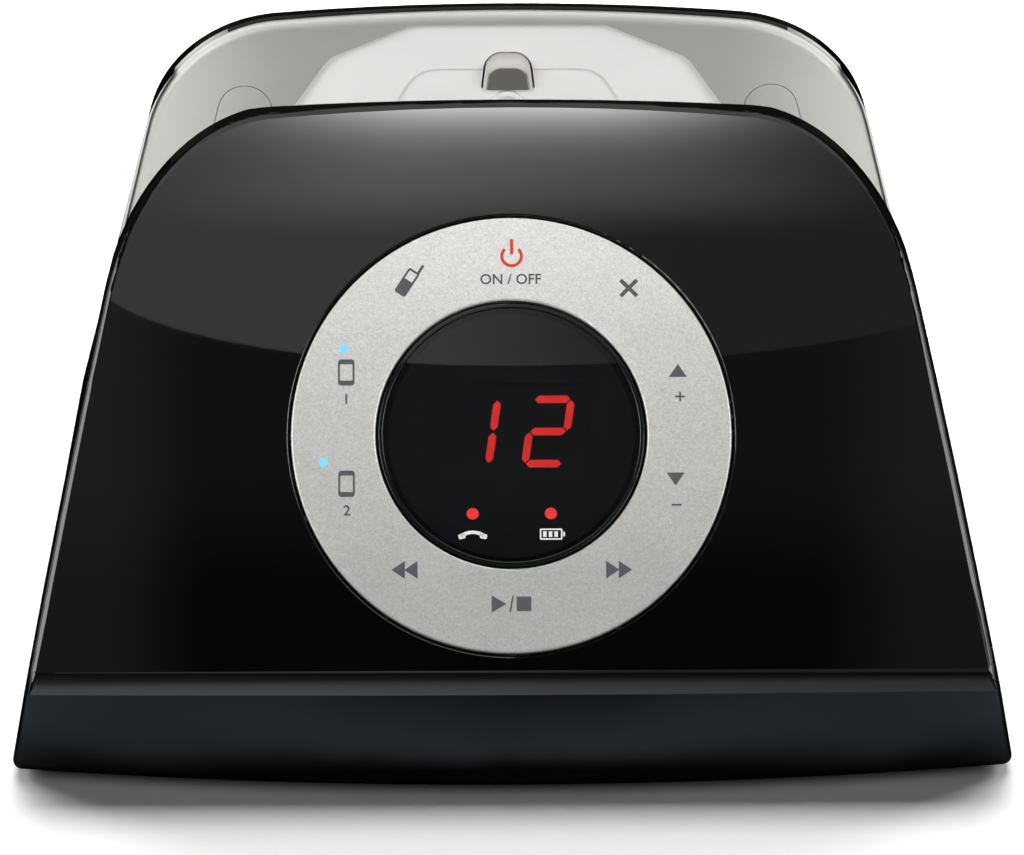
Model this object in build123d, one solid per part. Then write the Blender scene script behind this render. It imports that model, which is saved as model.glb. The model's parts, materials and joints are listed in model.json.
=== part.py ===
from build123d import *
import math
import os

os.makedirs("parts", exist_ok=True)

# Frame: X to the right, -Y to the front, Z up. The origin is on the table under the middle of the body.
# The pieces are built with Y counted from midway between the two stations, and shifted when saved.

# --- side outline of the body ---
front_width = 152.1      # body width carried down to the table, at the front station
rear_width = 146.0       # the same at the rear station
front_side_lean = 0.191  # inward lean of the sides per mm of height, front station
rear_side_lean = 0.26    # the same at the rear station
station = 55.0           # the two stations lie this far ahead of and behind the middle

# --- front petal ---
front_top = 82.4         # height of the front lip at its middle
front_corner = 26.5      # radius of its upper corners
front_crown = 560.0      # radius of its slightly arched top
panel_angle = 48.0       # slope of the key panel from the table
panel_foot_y = -55.0     # where the panel's plane meets the height of the crease
panel_foot_z = 15.0
flare_length = 3.8       # concave flare between the panel and the crease
flare_start = 44.0       # slope of the flare at its upper edge
flare_angle = 34.0       # slope of the flare at the crease
shoulder_rim = 2.0       # the shoulders fall away this far behind the panel
shoulder_fall = 36.0     # slope at which they fall
lip_width = 1.85         # thickness of the front lip at its top
fascia_bow = 5.3         # how far the foot of the fascia bows forward in the middle
fascia_lean = 4.2        # how far the foot stands ahead of the crease in the middle

# --- rear petal and cradle ---
rear_top = 77.95         # height of the rear rim at its middle
rear_corner = 24.2
rear_crown = 430.0
mouth = 35.4             # width of the cradle's mouth at the rear rim's height
front_wall_lean = 12.0   # lean of the cradle's front wall from upright
rear_wall_lean = 7.0     # lean of the cradle's rear wall from upright
cradle_floor = 33.0      # height of the cradle's open floor
cradle_fillet = 5.0
petal_thickness = 3.8    # rear petal at its rim
back_lean = 5.8          # lean of the back wall from upright

# --- walls and fits ---
wall = 2.0               # wall of the shells
liner_thickness = 2.0
seam = 0.05              # gap between mating mouldings
side_lip = 0.4           # black edge left outside the liner along the sides
rim_step = 0.6           # the liner's top edge lies this far below the rear rim
edge_round = 1.4         # rounding of the shells' outer edges
ground_gap = 0.8         # height of the shells' lower edge over the table
play = 0.4               # visible gap round moving parts

# --- key ring, in the panel's own frame: x to the right, y up the slope, z out of the panel ---
ring_place = 0.4366      # where the ring's centre lies between the panel's foot and the front lip
ring_outer = 33.25
ring_inner = 20.5
ring_proud = 0.35        # how far the ring stands out of the panel
ring_thickness = 2.0
key_count = 10
key_radius = 27.0        # the keys' pushers stand on this circle
pusher_radius = 1.5
pivot_depth = 3.5        # depth of both rocking axes under the panel
pivot_radius = 0.8
pivot_fit = 0.05         # radial clearance of the pivots
board_depth = 8.4        # depth of the key board's face under the panel
board_thickness = 1.6
key_board_rim = 2.75     # the square key board reaches this far outside the ring
key_board_inset = 5.0    # its screws stand this far inside its edges
dome_height = 1.3
mat_thickness = 1.0
dome_gap = 0.1           # between a pusher and its dome
bezel_wall = 0.7
window_thickness = 1.6
window_depth = 0.2       # depth of the window's face under the panel
digit_height = 11.0
digit_pitch = 11.14
digit_width = 6.8
digit_rise = 0.7         # the digits' middle line stands this far above the ring's centre
segment_width = 1.15
digit_slant = 8.3        # lean of the digits, in degrees
lamp_radius = 0.93
lamp_spread = 5.9        # the two message lamps stand this far to either side
lamp_drop = 11.85        # and this far below the ring's centre
guide_radius = 0.66
guide_places = [(-25.25, 13.2), (-28.4, -4.2)]

# --- pocket ---
pocket_recess = 1.0      # the pocket's face lies this far behind the liner's
pocket_wall = 1.0
pocket_half = 36.0       # half width of the pocket's lower part
pocket_top = 75.8
cup_floor = 27.0
cup_wall = 2.0
handset_half = 26.5      # half width of the handset's seat
seat_top = 67.8
seat_step = 0.5
tab_width = 8.1          # the handset tab at its foot
tab_waist = 6.6          # and at its top
tab_round = 2.7          # radius of its upper corners
tab_edge = 1.1           # rounding of its nose
tab_top = 70.4
tab_height = 6.2
tab_reach = 2.9
tab_gap = 0.3
boss_radius = 2.8        # round boss under the tab
boss_wall = 0.8
boss_proud = 0.7
boss_gap = 0.25          # between the tab's foot and the boss
cap_radius = 4.3
cap_length = 19.0
cap_tilt = 15.0
cap_x = 43.8
cap_z = 56.2
cap_depth = 1.2
cap_fit = 0.12

# --- charge contacts ---
contact_spread = 8.5     # the two contacts stand this far to either side
contact_radius = 1.25
contact_travel = 2.0     # stroke of a sprung contact
contact_rest = 0.2       # how far it still stands out when pressed right in
contact_fit = 0.05
flange_radius = 2.0
contact_spring_length = 4.4
contact_wire = 0.4

# --- inside ---
base_thickness = 2.0
board_height = 8.0       # underside of the main board over the table
board_front = 14.0       # the board starts this far behind the fascia's inside
board_rear = 7.8         # and ends this far ahead of the back wall's outside
speaker_y = -10.0
speaker_radius = 20.0
speaker_gap = 8.0        # between the speaker and the main board
speaker_inboard = 31.5   # from the body's side to the speaker's centre
screw_radius = 1.2
screw_head = 2.4
pilot_gap = 0.05
foot_radius = 6.0
foot_inset = 0.8
post_radius = 3.5
base_screw_front = (25.9, 10.0)    # front base screws: inside the body's side, and behind the fascia's inside
base_screw_rear = (18.9, 12.5)     # rear base screws: inside the body's side, and ahead of the back wall
base_screw_reach = 6.0   # how far the base screws' pilot holes run above the base plate
foot_inboard = 12.4      # the feet stand this far inside the body's side
foot_front = 8.0         # front feet, behind the fascia's inside
foot_rear = 23.5         # rear feet, ahead of the back wall

# --- on the main board ---
can_radius = 3.2
can_height = 9.0
chip_height = 1.4
crystal_height = 3.4
radio_size = 18.0
shield_height = 2.6
antenna_height = 30.0
antenna_width = 10.0
antenna_thickness = 0.8
coil_size = (14.0, 13.0)
coil_height = 10.0

# --- jacks in the back wall ---
jack_inset = 1.2         # the jacks' faces lie this far inside the back wall
power_inboard = 7.0      # from the main board's right end to the power jack
jack_pitch = 24.0        # from the power jack to the line jack
power_width = 9.0
power_height = 10.5
power_length = 13.0
power_bore = 2.8
power_depth = 9.5
line_width = 13.0
line_height = 11.5
line_length = 14.0
line_depth = 11.0

tan_front = math.tan(math.radians(front_wall_lean))
tan_rear = math.tan(math.radians(rear_wall_lean))
tan_back = math.tan(math.radians(back_lean))
sin_panel = math.sin(math.radians(panel_angle))
cos_panel = math.cos(math.radians(panel_angle))
reach = 200.0


def panel_y(z):
    """Y of the key panel's plane at height z."""
    return panel_foot_y + (z - panel_foot_z) * cos_panel / sin_panel


def front_wall_y(z):
    """Y of the cradle's front wall at height z."""
    return panel_y(front_top) + lip_width + (front_top - z) * tan_front


def rear_wall_y(z):
    """Y of the cradle's rear wall at height z."""
    return front_wall_y(rear_top) + mouth - (rear_top - z) * tan_rear


def back_y(z):
    """Y of the back wall's outside at height z."""
    return rear_wall_y(rear_top) + petal_thickness + (rear_top - z) * tan_back


def half_width(y, z):
    """Half of the body's width at depth y and height z, below the corners."""
    share = (y + station) / (2 * station)
    lean = front_side_lean + (rear_side_lean - front_side_lean) * share
    return (front_width + (rear_width - front_width) * share) / 2 - lean * z


def prism(points, half=reach):
    """Solid of a YZ outline, across the whole body."""
    face = Face(Wire.make_polygon([(-half, y, z) for y, z in points], close=True))
    return extrude(face, amount=2 * half, dir=(1, 0, 0))


def outline(y, side_inset, top, corner, crown):
    """Closed outline of a petal at depth y: two leaning sides, two corner arcs and an arched top."""
    share = (y + station) / (2 * station)
    lean = front_side_lean + (rear_side_lean - front_side_lean) * share
    slant = math.sqrt(1 + lean * lean)
    half = (front_width + (rear_width - front_width) * share) / 2 - side_inset * slant
    crown_z = top - crown
    reduced = half - corner * slant - lean * crown_z
    root = math.sqrt((reduced * lean) ** 2 - slant ** 2 * (reduced ** 2 - (crown - corner) ** 2))
    rise = (reduced * lean + root) / slant ** 2
    centre_x = reduced - lean * rise
    centre_z = crown_z + rise
    side_x = centre_x + corner / slant
    side_z = centre_z + corner * lean / slant
    turn = math.atan2(centre_z - crown_z, centre_x)
    top_x = crown * math.cos(turn)
    top_z = crown_z + crown * math.sin(turn)
    middle = (math.atan2(lean, 1) + turn) / 2
    mid_x = centre_x + corner * math.cos(middle)
    mid_z = centre_z + corner * math.sin(middle)
    foot = -5.0
    foot_x = half - lean * foot
    return Wire([
        Edge.make_line((-foot_x, y, foot), (foot_x, y, foot)),
        Edge.make_line((foot_x, y, foot), (side_x, y, side_z)),
        Edge.make_three_point_arc((side_x, y, side_z), (mid_x, y, mid_z), (top_x, y, top_z)),
        Edge.make_three_point_arc((top_x, y, top_z), (0, y, top), (-top_x, y, top_z)),
        Edge.make_three_point_arc((-top_x, y, top_z), (-mid_x, y, mid_z), (-side_x, y, side_z)),
        Edge.make_line((-side_x, y, side_z), (-foot_x, y, foot)),
    ])


def envelope(side_inset, top, corner, crown):
    """Everything inside a petal's outline, from well ahead of the body to well behind it."""
    ends = [outline(y, side_inset, top, corner, crown) for y in (-1.3 * station, 1.3 * station)]
    return Solid.make_loft(ends, ruled=True)


def trough(offset):
    """The cradle's open space, widened on every side by offset."""
    floor = cradle_floor - offset
    high = front_top + 40
    near = offset / math.cos(math.radians(front_wall_lean))
    far = offset / math.cos(math.radians(rear_wall_lean))
    solid = prism([
        (front_wall_y(floor) - near, floor),
        (rear_wall_y(floor) + far, floor),
        (rear_wall_y(high) + far, high),
        (front_wall_y(high) - near, high),
    ])
    bottom = solid.edges().filter_by(Axis.X).group_by(Axis.Z)[0]
    return fillet(bottom, cradle_fillet + offset)


def fascia_waste():
    """Everything ahead of the bowed fascia, up to just over the crease."""
    low = ground_gap
    high = panel_foot_z + flare_length / 2
    crease_y, crease_z = flare_points()[-1]
    share = (high - low) / (crease_z - low)
    foot_y = fascia_foot_y()
    top_y = foot_y + fascia_lean * share
    wide = front_width * 0.6
    bow = fascia_bow * (wide / (front_width / 2)) ** 2
    wires = []
    for z, y, sag in ((low, foot_y, bow), (high, top_y, bow * (1 - share) + fascia_bow * 0.1)):
        wires.append(Wire([
            Edge.make_three_point_arc((-wide, y + sag, z), (0, y, z), (wide, y + sag, z)),
            Edge.make_line((wide, y + sag, z), (wide, y - 30, z)),
            Edge.make_line((wide, y - 30, z), (-wide, y - 30, z)),
            Edge.make_line((-wide, y - 30, z), (-wide, y + sag, z)),
        ]))
    return Solid.make_loft(wires, ruled=True)


def flare_points(steps=8):
    """The concave flare's outline, from the panel down to the crease."""
    turn = math.radians(flare_start - flare_angle)
    radius = flare_length / turn
    y = panel_foot_y + flare_length * cos_panel
    z = panel_foot_z + flare_length * sin_panel
    points = [(y, z)]
    for step in range(steps):
        angle = math.radians(flare_start) - turn * (step + 0.5) / steps
        chord = 2 * radius * math.sin(turn / steps / 2)
        y -= chord * math.cos(angle)
        z -= chord * math.sin(angle)
        points.append((y, z))
    return points


def fascia_foot_y():
    """Y of the fascia's foot in the middle."""
    return flare_points()[-1][0] - fascia_lean


cup_front = front_wall_y(cradle_floor) + 1.5
contact_proud = contact_travel + contact_rest
contact_y = (cup_front + rear_wall_y(cup_floor) + pocket_recess) / 2
contact_top = cup_floor + contact_proud
contact_block_top = cup_floor - cup_wall
flange_top = contact_block_top - 3.0
flange_low = flange_top - 1.5
spring_foot = flange_low - contact_spring_length
split_y = (front_wall_y(cradle_floor) + rear_wall_y(cradle_floor)) / 2
fascia_inner = fascia_foot_y() + fascia_bow + wall
liner_front_top = front_top - wall - edge_round
middle_y = (fascia_foot_y() + back_y(ground_gap)) / 2
base_top = ground_gap + base_thickness
base_screw_top = base_top + base_screw_reach
base_screw_rows = [
    (base_screw_front[0], fascia_inner + base_screw_front[1]),
    (base_screw_rear[0], back_y(ground_gap) - base_screw_rear[1]),
]
base_screw_places = [
    (side * (half_width(y, ground_gap) - inboard), y) for side in (-1, 1) for inboard, y in base_screw_rows
]
foot_rows = (fascia_inner + foot_front, back_y(ground_gap) - foot_rear)
foot_places = [(side * (half_width(y, ground_gap) - foot_inboard), y) for side in (-1, 1) for y in foot_rows]
speaker_x = speaker_inboard - half_width(speaker_y, base_top)
board_x = (speaker_x + speaker_radius + speaker_gap, base_screw_places[-1][0] - post_radius - 1.5)
board_y = (fascia_inner + board_front, back_y(board_height) - board_rear)
board_top = board_height + board_thickness
board_screw_places = [
    (x, y) for x in (board_x[0] + 4, board_x[1] - 4) for y in (board_y[0] + 4, board_y[1] - 14)
]
jack_face = back_y(board_top) - jack_inset
power_x = board_x[1] - power_inboard
line_x = power_x - jack_pitch
carrier_outer = ring_outer - 2.0
carrier_inner = ring_inner + 2.2
module_top = -window_depth - window_thickness - 0.6
key_board_half = ring_outer + key_board_rim
screw_offset = key_board_half - key_board_inset
screw_places = [(side * screw_offset, end * screw_offset) for side in (-1, 1) for end in (-1, 1)]
key_places = [
    (key_radius * math.cos(turn), key_radius * math.sin(turn))
    for turn in (math.pi / 2 + index * 2 * math.pi / key_count for index in range(key_count))
]
ring_up = ring_place * (front_top - panel_foot_z) / sin_panel
panel_frame = Plane(
    origin=(0, panel_foot_y + ring_up * cos_panel, panel_foot_z + ring_up * sin_panel),
    x_dir=(1, 0, 0),
    z_dir=(0, -sin_panel, cos_panel),
)


def shoulder_waste(side, drop=0.0):
    """Everything over one shoulder of the front petal, which falls away behind a narrow rim.

    A drop lowers it along the body's side.
    """
    spare = 0.2
    low = front_top - front_corner
    rim_y = panel_y(low) + shoulder_rim / sin_panel
    fall = math.radians(shoulder_fall)
    run = 30.0
    end = (rim_y + run * math.cos(fall), low - run * math.sin(fall))
    spread = (half_width(*end) - half_width(rim_y, low)) / run
    plane = Plane(origin=(0, rim_y, low), x_dir=(1, 0, 0), z_dir=(0, -sin_panel, cos_panel))
    region = plane.location * (Pos(side * reach / 2, reach / 2) * Rectangle(reach, reach))
    region -= envelope(-spare, front_top + spare, front_corner + spare, front_crown + spare)
    waste = extrude(region, amount=1.5 * run, dir=(side * spread, math.cos(fall), -math.sin(fall)))
    lean = half_width(rim_y, 0) - half_width(rim_y, 1)
    return Pos(side * lean * drop, 0, -drop) * waste


def shoulders(drop=0.0):
    """The waste over both shoulders."""
    return shoulder_waste(-1, drop) + shoulder_waste(1, drop)


def front_body():
    """The front petal in full, down to its lower edge."""
    start = flare_points()[0]
    end = flare_points()[-1]
    turn = math.radians(flare_start - flare_angle)
    mid_angle = math.radians(flare_start) - turn / 4
    chord = 2 * (flare_length / turn) * math.sin(turn / 4)
    mid = (start[0] - chord * math.cos(mid_angle), start[1] - chord * math.sin(mid_angle))
    drop = math.tan(math.radians(flare_angle))
    nose_y = panel_foot_y - 12
    high = front_top + 20
    loop = [
        (panel_y(high), high),
        start,
        mid,
        end,
        (nose_y, end[1] - (end[0] - nose_y) * drop),
        (nose_y, ground_gap),
        (split_y, ground_gap),
        (split_y, high),
    ]
    points = [(-reach, y, z) for y, z in loop]
    edges = [
        Edge.make_line(points[0], points[1]),
        Edge.make_three_point_arc(points[1], points[2], points[3]),
    ]
    edges += [Edge.make_line(a, b) for a, b in zip(points[3:], points[4:] + points[:1])]
    block = extrude(Face(Wire(edges)), amount=2 * reach, dir=(1, 0, 0))
    return envelope(0, front_top, front_corner, front_crown) & block - fascia_waste() - trough(0)


def rear_body():
    """The rear petal in full, down to its lower edge."""
    high = rear_top + 20
    block = prism([
        (split_y, ground_gap),
        (back_y(ground_gap), ground_gap),
        (back_y(high), high),
        (split_y, high),
    ])
    return envelope(0, rear_top, rear_corner, rear_crown) & block - trough(0)


def on_panel(shape):
    """Move a shape from the panel's frame to its place."""
    return panel_frame.location * shape


def drum(radius, low, high, x=0.0, y=0.0):
    """Upright cylinder between two heights."""
    return Pos(x, y, low) * Cylinder(radius, high - low, align=(Align.CENTER, Align.CENTER, Align.MIN))


def tube(inner, outer, low, high, x=0.0, y=0.0):
    """Upright tube between two heights."""
    return drum(outer, low, high, x, y) - drum(inner, low - 1, high + 1, x, y)


def block(x, y, z):
    """Box from three (low, high) pairs."""
    size = [high - low for low, high in (x, y, z)]
    middle = [(high + low) / 2 for low, high in (x, y, z)]
    return Pos(*middle) * Box(*size)


def group(shapes):
    """Several separate solids as one shape."""
    return Compound(children=[solid for shape in shapes for solid in shape.solids()])


def on_plane(edge, depth):
    """True if an edge lies on the leaning plane whose Y at height z is depth(z)."""
    return all(abs(p.Y - depth(p.Z)) < 0.01 for p in (edge @ 0, edge @ 0.5, edge @ 1))


def curved(edge):
    return edge.geom_type != GeomType.LINE


def foot_edges(body):
    """The lower outer edges of a body, without the one on the seam."""
    return [
        e for e in body.edges()
        if abs((e @ 0).Z - ground_gap) < 0.01 and abs((e @ 1).Z - ground_gap) < 0.01
        and abs(e.center().Y - split_y) > 0.5
    ]


def rounded_front():
    body = front_body()
    flare_y = flare_points()[0][0]
    rim = [e for e in body.edges() if on_plane(e, panel_y) and curved(e)]
    rim += [
        e for e in body.edges()
        if e.center().Y < flare_y and abs(e.center().X) > front_width / 3 and e.center().Z > ground_gap + 1
    ]
    body = fillet(rim + foot_edges(body), edge_round)
    lip = [
        e for e in body.edges()
        if on_plane(e, front_wall_y) and e.center().Z > front_top - front_corner
    ]
    return fillet(lip, edge_round * 0.75) - shoulders()


def rounded_rear():
    body = rear_body()
    rim = [e for e in body.edges() if on_plane(e, back_y) and curved(e)]
    return fillet(rim + foot_edges(body), edge_round * 0.75)


def front_inner():
    """The front shell's hollow, open below and towards the cradle."""
    top = liner_front_top + seam
    low = -20.0
    gap = wall / sin_panel
    knee = panel_foot_z + (fascia_inner - gap - panel_foot_y) * sin_panel / cos_panel
    hollow = prism([
        (fascia_inner, low),
        (fascia_inner, knee),
        (panel_y(top) + gap, top),
        (front_wall_y(top), top),
        (front_wall_y(cradle_floor), cradle_floor),
        (split_y + 5, cradle_floor),
        (split_y + 5, low),
    ])
    hollow &= envelope(wall, front_top - wall, front_corner - wall, front_crown - wall)
    return hollow - shoulders(wall + edge_round)


def rear_inner():
    """The rear shell's hollow, open below and towards the cradle."""
    top = rear_top - wall
    low = -20.0
    gap = wall / math.cos(math.radians(back_lean))
    hollow = prism([
        (split_y - 5, low),
        (back_y(low) - gap, low),
        (back_y(top) - gap, top),
        (rear_wall_y(top), top),
        (rear_wall_y(cradle_floor), cradle_floor),
        (split_y - 5, cradle_floor),
    ])
    return envelope(wall, top, rear_corner - wall, rear_crown - wall) & hollow


def half_space(front):
    """Everything ahead of the seam between the shells, or behind it."""
    y = (-reach, split_y) if front else (split_y, reach)
    return block((-reach, reach), y, (-reach, reach))


def make_liner():
    band = trough(liner_thickness) - trough(0)
    inset = side_lip + seam
    front = envelope(inset, liner_front_top, front_corner - wall, front_crown - wall)
    front = (front & band & half_space(True)) - shoulders(wall + edge_round)
    rear = envelope(inset, rear_top - rim_step, rear_corner - rim_step, rear_crown - rim_step)
    rear = rear & band & half_space(False)
    edges = [e for e in rear.edges() if on_plane(e, rear_wall_y) and curved(e)]
    rear = fillet(edges, liner_thickness * 0.6)
    liner = front + rear - pocket_opening(0)
    for side in (-1, 1):
        liner -= cap_shape(side, cap_fit, cap_depth, 1.0)
    return liner


def pocket_points(inset):
    """The pocket's outline, seen from the front, from the top middle round to the lower right."""
    width = pocket_half - inset
    top = pocket_top - inset
    return [
        (width * 0.43, top),
        (width * 0.80, top - 5.6),
        (width, top - 15.8),
        (width, cup_floor - cup_wall),
    ]


def pocket_prism(inset, y_low, y_high):
    right = pocket_points(inset)
    left = [(-x, z) for x, z in reversed(right)]
    face = Face(Wire.make_polygon([(x, y_low, z) for x, z in right + left], close=True))
    solid = extrude(face, amount=y_high - y_low, dir=(0, 1, 0))
    along = solid.edges().filter_by(Axis.Y)
    upper = [e for e in along if e.center().Z > pocket_top - 8]
    solid = fillet(upper, 5.0)
    middle = [e for e in solid.edges().filter_by(Axis.Y) if abs(e.center().Z - right[2][1]) < 0.1]
    return fillet(middle, 5.0)


def pocket_opening(inset):
    return pocket_prism(inset, cup_front + inset, reach)


def leaning_slab(near, far):
    """Slab between two planes parallel to the cradle's rear wall, near and far behind it."""
    low = cup_floor - cup_wall
    high = rear_top
    return prism([
        (rear_wall_y(low) + near, low),
        (rear_wall_y(low) + far, low),
        (rear_wall_y(high) + far, high),
        (rear_wall_y(high) + near, high),
    ])


def seat_prism():
    """The handset seat's outline, seen from the front."""
    wide = handset_half * 0.56
    points = [
        (wide, seat_top),
        (handset_half, seat_top - 20),
        (handset_half, 0.0),
        (-handset_half, 0.0),
        (-handset_half, seat_top - 20),
        (-wide, seat_top),
    ]
    face = Face(Wire.make_polygon([(x, cup_front, z) for x, z in points], close=True))
    solid = extrude(face, amount=reach, dir=(0, 1, 0))
    top = [e for e in solid.edges().filter_by(Axis.Y) if e.center().Z > seat_top - 1]
    return fillet(top, 6.0)


def tab_outline(gap, y_low, y_high, foot):
    """Tapering upright bar with a rounded top, seen from the front."""
    wide = tab_width / 2 + gap
    narrow = tab_waist / 2 + gap
    top = tab_top + gap
    points = [(-wide, foot), (wide, foot), (narrow, top), (-narrow, top)]
    face = Face(Wire.make_polygon([(x, y_low, z) for x, z in points], close=True))
    solid = extrude(face, amount=y_high - y_low, dir=(0, 1, 0))
    corners = [e for e in solid.edges().filter_by(Axis.Y) if e.center().Z > top - 0.1]
    return fillet(corners, tab_round + gap)


def tab_foot():
    return tab_top - tab_height


def make_pocket():
    face = pocket_recess
    back = pocket_recess + pocket_wall
    plate = pocket_prism(0.1, cup_front, reach) & leaning_slab(face, back)
    pad_top = seat_top + 1.2
    pad = leaning_slab(back, back + 1.2) & block((-30, 30), (-reach, reach), (cup_floor - cup_wall, pad_top))
    low = cup_floor - cup_wall
    rear = rear_wall_y(cup_floor) + back
    outer = pocket_half + cup_wall
    under = cradle_floor - liner_thickness - 2 * seam
    tub = block((-outer, outer), (cup_front - cup_wall, rear), (low, under))
    tub -= block((-pocket_half, pocket_half), (cup_front, reach), (cup_floor, reach))
    tub -= leaning_slab(back, back + 20)
    pocket = plate + pad + tub
    pocket -= seat_prism() & leaning_slab(face - 0.5, face + seat_step)
    seat = (cup_floor - seat_step, cup_floor + 1)
    pocket -= block((-handset_half, handset_half), (cup_front, rear - 3), seat)
    pocket -= tab_outline(tab_gap, 0, reach, tab_foot())
    boss_z = tab_foot() - boss_gap - boss_radius
    boss = Rot(90, 0, 0) * tube(boss_radius - boss_wall, boss_radius, -reach, 0)
    pocket += Pos(0, 0, boss_z) * boss & leaning_slab(face + seat_step - boss_proud, back)
    for side in (-1, 1):
        pocket -= drum(contact_radius + 0.35, low - 1, cup_floor + 1, side * contact_spread, contact_y)
    return pocket


def make_tab():
    """Nose that stands out furthest at its top and runs back into the plate at its foot."""
    face = pocket_recess
    back = pocket_recess + pocket_wall
    foot = tab_foot() + 0.1
    top = tab_top
    near_foot = rear_wall_y(foot) + face - 0.3
    near_top = rear_wall_y(top) + face - tab_reach
    nose = prism([
        (near_foot, foot),
        (near_top + (near_top - near_foot) / (top - foot), top + 1),
        (rear_wall_y(top + 1) + back, top + 1),
        (rear_wall_y(foot) + back, foot),
    ])
    nose &= tab_outline(0, 0, reach, foot)
    front = nose.faces().sort_by(Axis.Y)[0]
    edges = [e for e in front.edges() if e.center().Z > foot + 0.5]
    nose = fillet(edges, tab_edge)
    above = block((-reach, reach), (0, reach), (seat_top + 1.3, reach))
    flange = tab_outline(1.2, 0, reach, foot) & leaning_slab(back + seam, back + seam + 0.8) & above
    root = tab_outline(0, 0, reach, foot) & leaning_slab(face, back + seam + 0.4) & above
    return nose + flange + root


def cap_shape(side, gap, depth, proud=0.0):
    """Obround set into the liner's rear wall, leaning like the body's side."""
    place = Plane(
        origin=(side * cap_x, rear_wall_y(cap_z), cap_z),
        x_dir=(1, 0, 0),
        z_dir=(0, -math.cos(math.radians(rear_wall_lean)), math.sin(math.radians(rear_wall_lean))),
    )
    shape = Rot(0, 0, 90 + side * cap_tilt) * SlotOverall(cap_length + 2 * gap, 2 * (cap_radius + gap))
    return place.location * (Pos(0, 0, proud) * extrude(shape, amount=-depth - proud))


def pilot_holes():
    """Holes for the base screws, for either shell."""
    radius = screw_radius + pilot_gap
    return group([drum(radius, 0, base_screw_top + 0.5, x, y) for x, y in base_screw_places])


def make_front_shell():
    shell = rounded_front() - front_inner()
    zone = envelope(side_lip, liner_front_top + seam, front_corner - wall, front_crown - wall)
    zone -= shoulders(wall + edge_round - seam)
    shell -= zone & trough(liner_thickness + seam) & half_space(True)
    bore = ring_outer + play
    shell += on_panel(tube(bore, bore + 1.6, 0.9 - board_depth, -wall / 2))
    for x, y in screw_places:
        shell += on_panel(drum(3.0, -board_depth, -wall / 2, x, y))
    posts = [drum(post_radius, base_top + seam, front_top, x, y) for x, y in base_screw_places if y < split_y]
    shell += group(posts) & (front_inner() + rounded_front())
    shell -= on_panel(drum(bore, -board_depth, 5))
    rim = [
        e for e in shell.edges()
        if e.geom_type == GeomType.CIRCLE and abs(e.radius - bore) < 0.01
        and (e.arc_center - panel_frame.origin).length < 0.05
    ]
    shell = fillet(rim, 0.3)
    socket = Pos(bore - 1, 0, -pivot_depth) * Rot(0, 90, 0) * drum(pivot_radius + pivot_fit, 0, 4)
    for turn in (0, 180):
        shell -= on_panel(Rot(0, 0, turn) * socket)
    for x, y in screw_places:
        shell -= on_panel(drum(screw_radius + pilot_gap, -board_depth - 1, -wall - 0.4, x, y))
    return shell - pilot_holes()


def jack_window(x, width, height):
    gap = 0.25
    return block(
        (x - width / 2 - gap, x + width / 2 + gap),
        (split_y, reach),
        (board_top - gap, board_top + height + gap),
    )


def make_rear_shell():
    shell = rounded_rear() - rear_inner()
    zone = envelope(side_lip, rear_top + 2 * side_lip, rear_corner + side_lip / 2, rear_crown)
    shell -= zone & trough(liner_thickness + seam) & half_space(False)
    posts = [drum(post_radius, base_top + seam, 26, x, y) for x, y in base_screw_places if y > split_y]
    shell += group(posts)
    for x, y in base_screw_places:
        if y > split_y:
            outward = 1 if x > 0 else -1
            web = block(sorted((x, x + outward * 30)), (y - 1, y + 1), (base_top + seam, 26))
            shell += web & rear_inner()
    shell -= jack_window(power_x, power_width, power_height)
    shell -= jack_window(line_x, line_width, line_height)
    return shell - pilot_holes()


def make_base_plate():
    gap = wall + 0.15
    back_gap = gap / math.cos(math.radians(back_lean))
    footprint = prism([
        (fascia_inner + 0.15, ground_gap),
        (back_y(ground_gap) - back_gap, ground_gap),
        (back_y(base_top) - back_gap, base_top),
        (fascia_inner + 0.15, base_top),
    ])
    plate = footprint & envelope(gap, front_top, front_corner, front_crown)
    low, high = base_top - 0.5, base_top + 5
    plate += tube(speaker_radius + 0.2, speaker_radius + 1.6, low, high, speaker_x, speaker_y)
    for x, y in board_screw_places:
        plate += drum(3.0, base_top - 0.5, board_height, x, y)
        plate -= drum(screw_radius + pilot_gap, base_top - 0.6, board_height + 1, x, y)
    for x, y in base_screw_places:
        plate -= drum(screw_radius + 0.3, 0, base_top + 1, x, y)
        plate -= drum(screw_head + 0.3, 0, ground_gap + 1.0, x, y)
    for x, y in foot_places:
        plate -= drum(foot_radius + 0.1, 0, ground_gap + foot_inset, x, y)
    for row in range(-3, 4):
        y = row * 4.2
        half = math.sqrt((speaker_radius - 3) ** 2 - y ** 2)
        plate -= block(
            (speaker_x - half, speaker_x + half),
            (speaker_y + y - 0.7, speaker_y + y + 0.7),
            (0, base_top + 1),
        )
    for row in range(6):
        y = -20 + row * 5.0
        plate -= block((10, 46), (y - 0.8, y + 0.8), (0, base_top + 1))
    plate -= block((-24, 24), (25, 45), (0, ground_gap + 0.3))
    return plate


def make_key_ring():
    ring = tube(ring_inner, ring_outer, ring_proud - ring_thickness, ring_proud)
    top = [e for e in ring.edges() if e.geom_type == GeomType.CIRCLE and e.center().Z > ring_proud - 0.01]
    ring = fillet(top, 0.3)
    low = ring_proud - ring_thickness
    reach_down = dome_gap - board_depth + mat_thickness + dome_height
    for x, y in key_places:
        ring += drum(pusher_radius, reach_down, low + 0.2, x, y)
    for turn in (90, 270):
        lug = block((carrier_outer + 0.3, ring_outer - 0.2), (-2.5, 2.5), (-pivot_depth - 1.6, low + 0.2))
        lug -= Pos(carrier_outer, 0, -pivot_depth) * Rot(0, 90, 0) * drum(pivot_radius + pivot_fit, 0, 5)
        ring += Rot(0, 0, turn) * lug
    for x, y in guide_places:
        ring -= drum(guide_radius + 0.02, low - 1, ring_proud + 1, x, y)
    return on_panel(ring)


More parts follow.
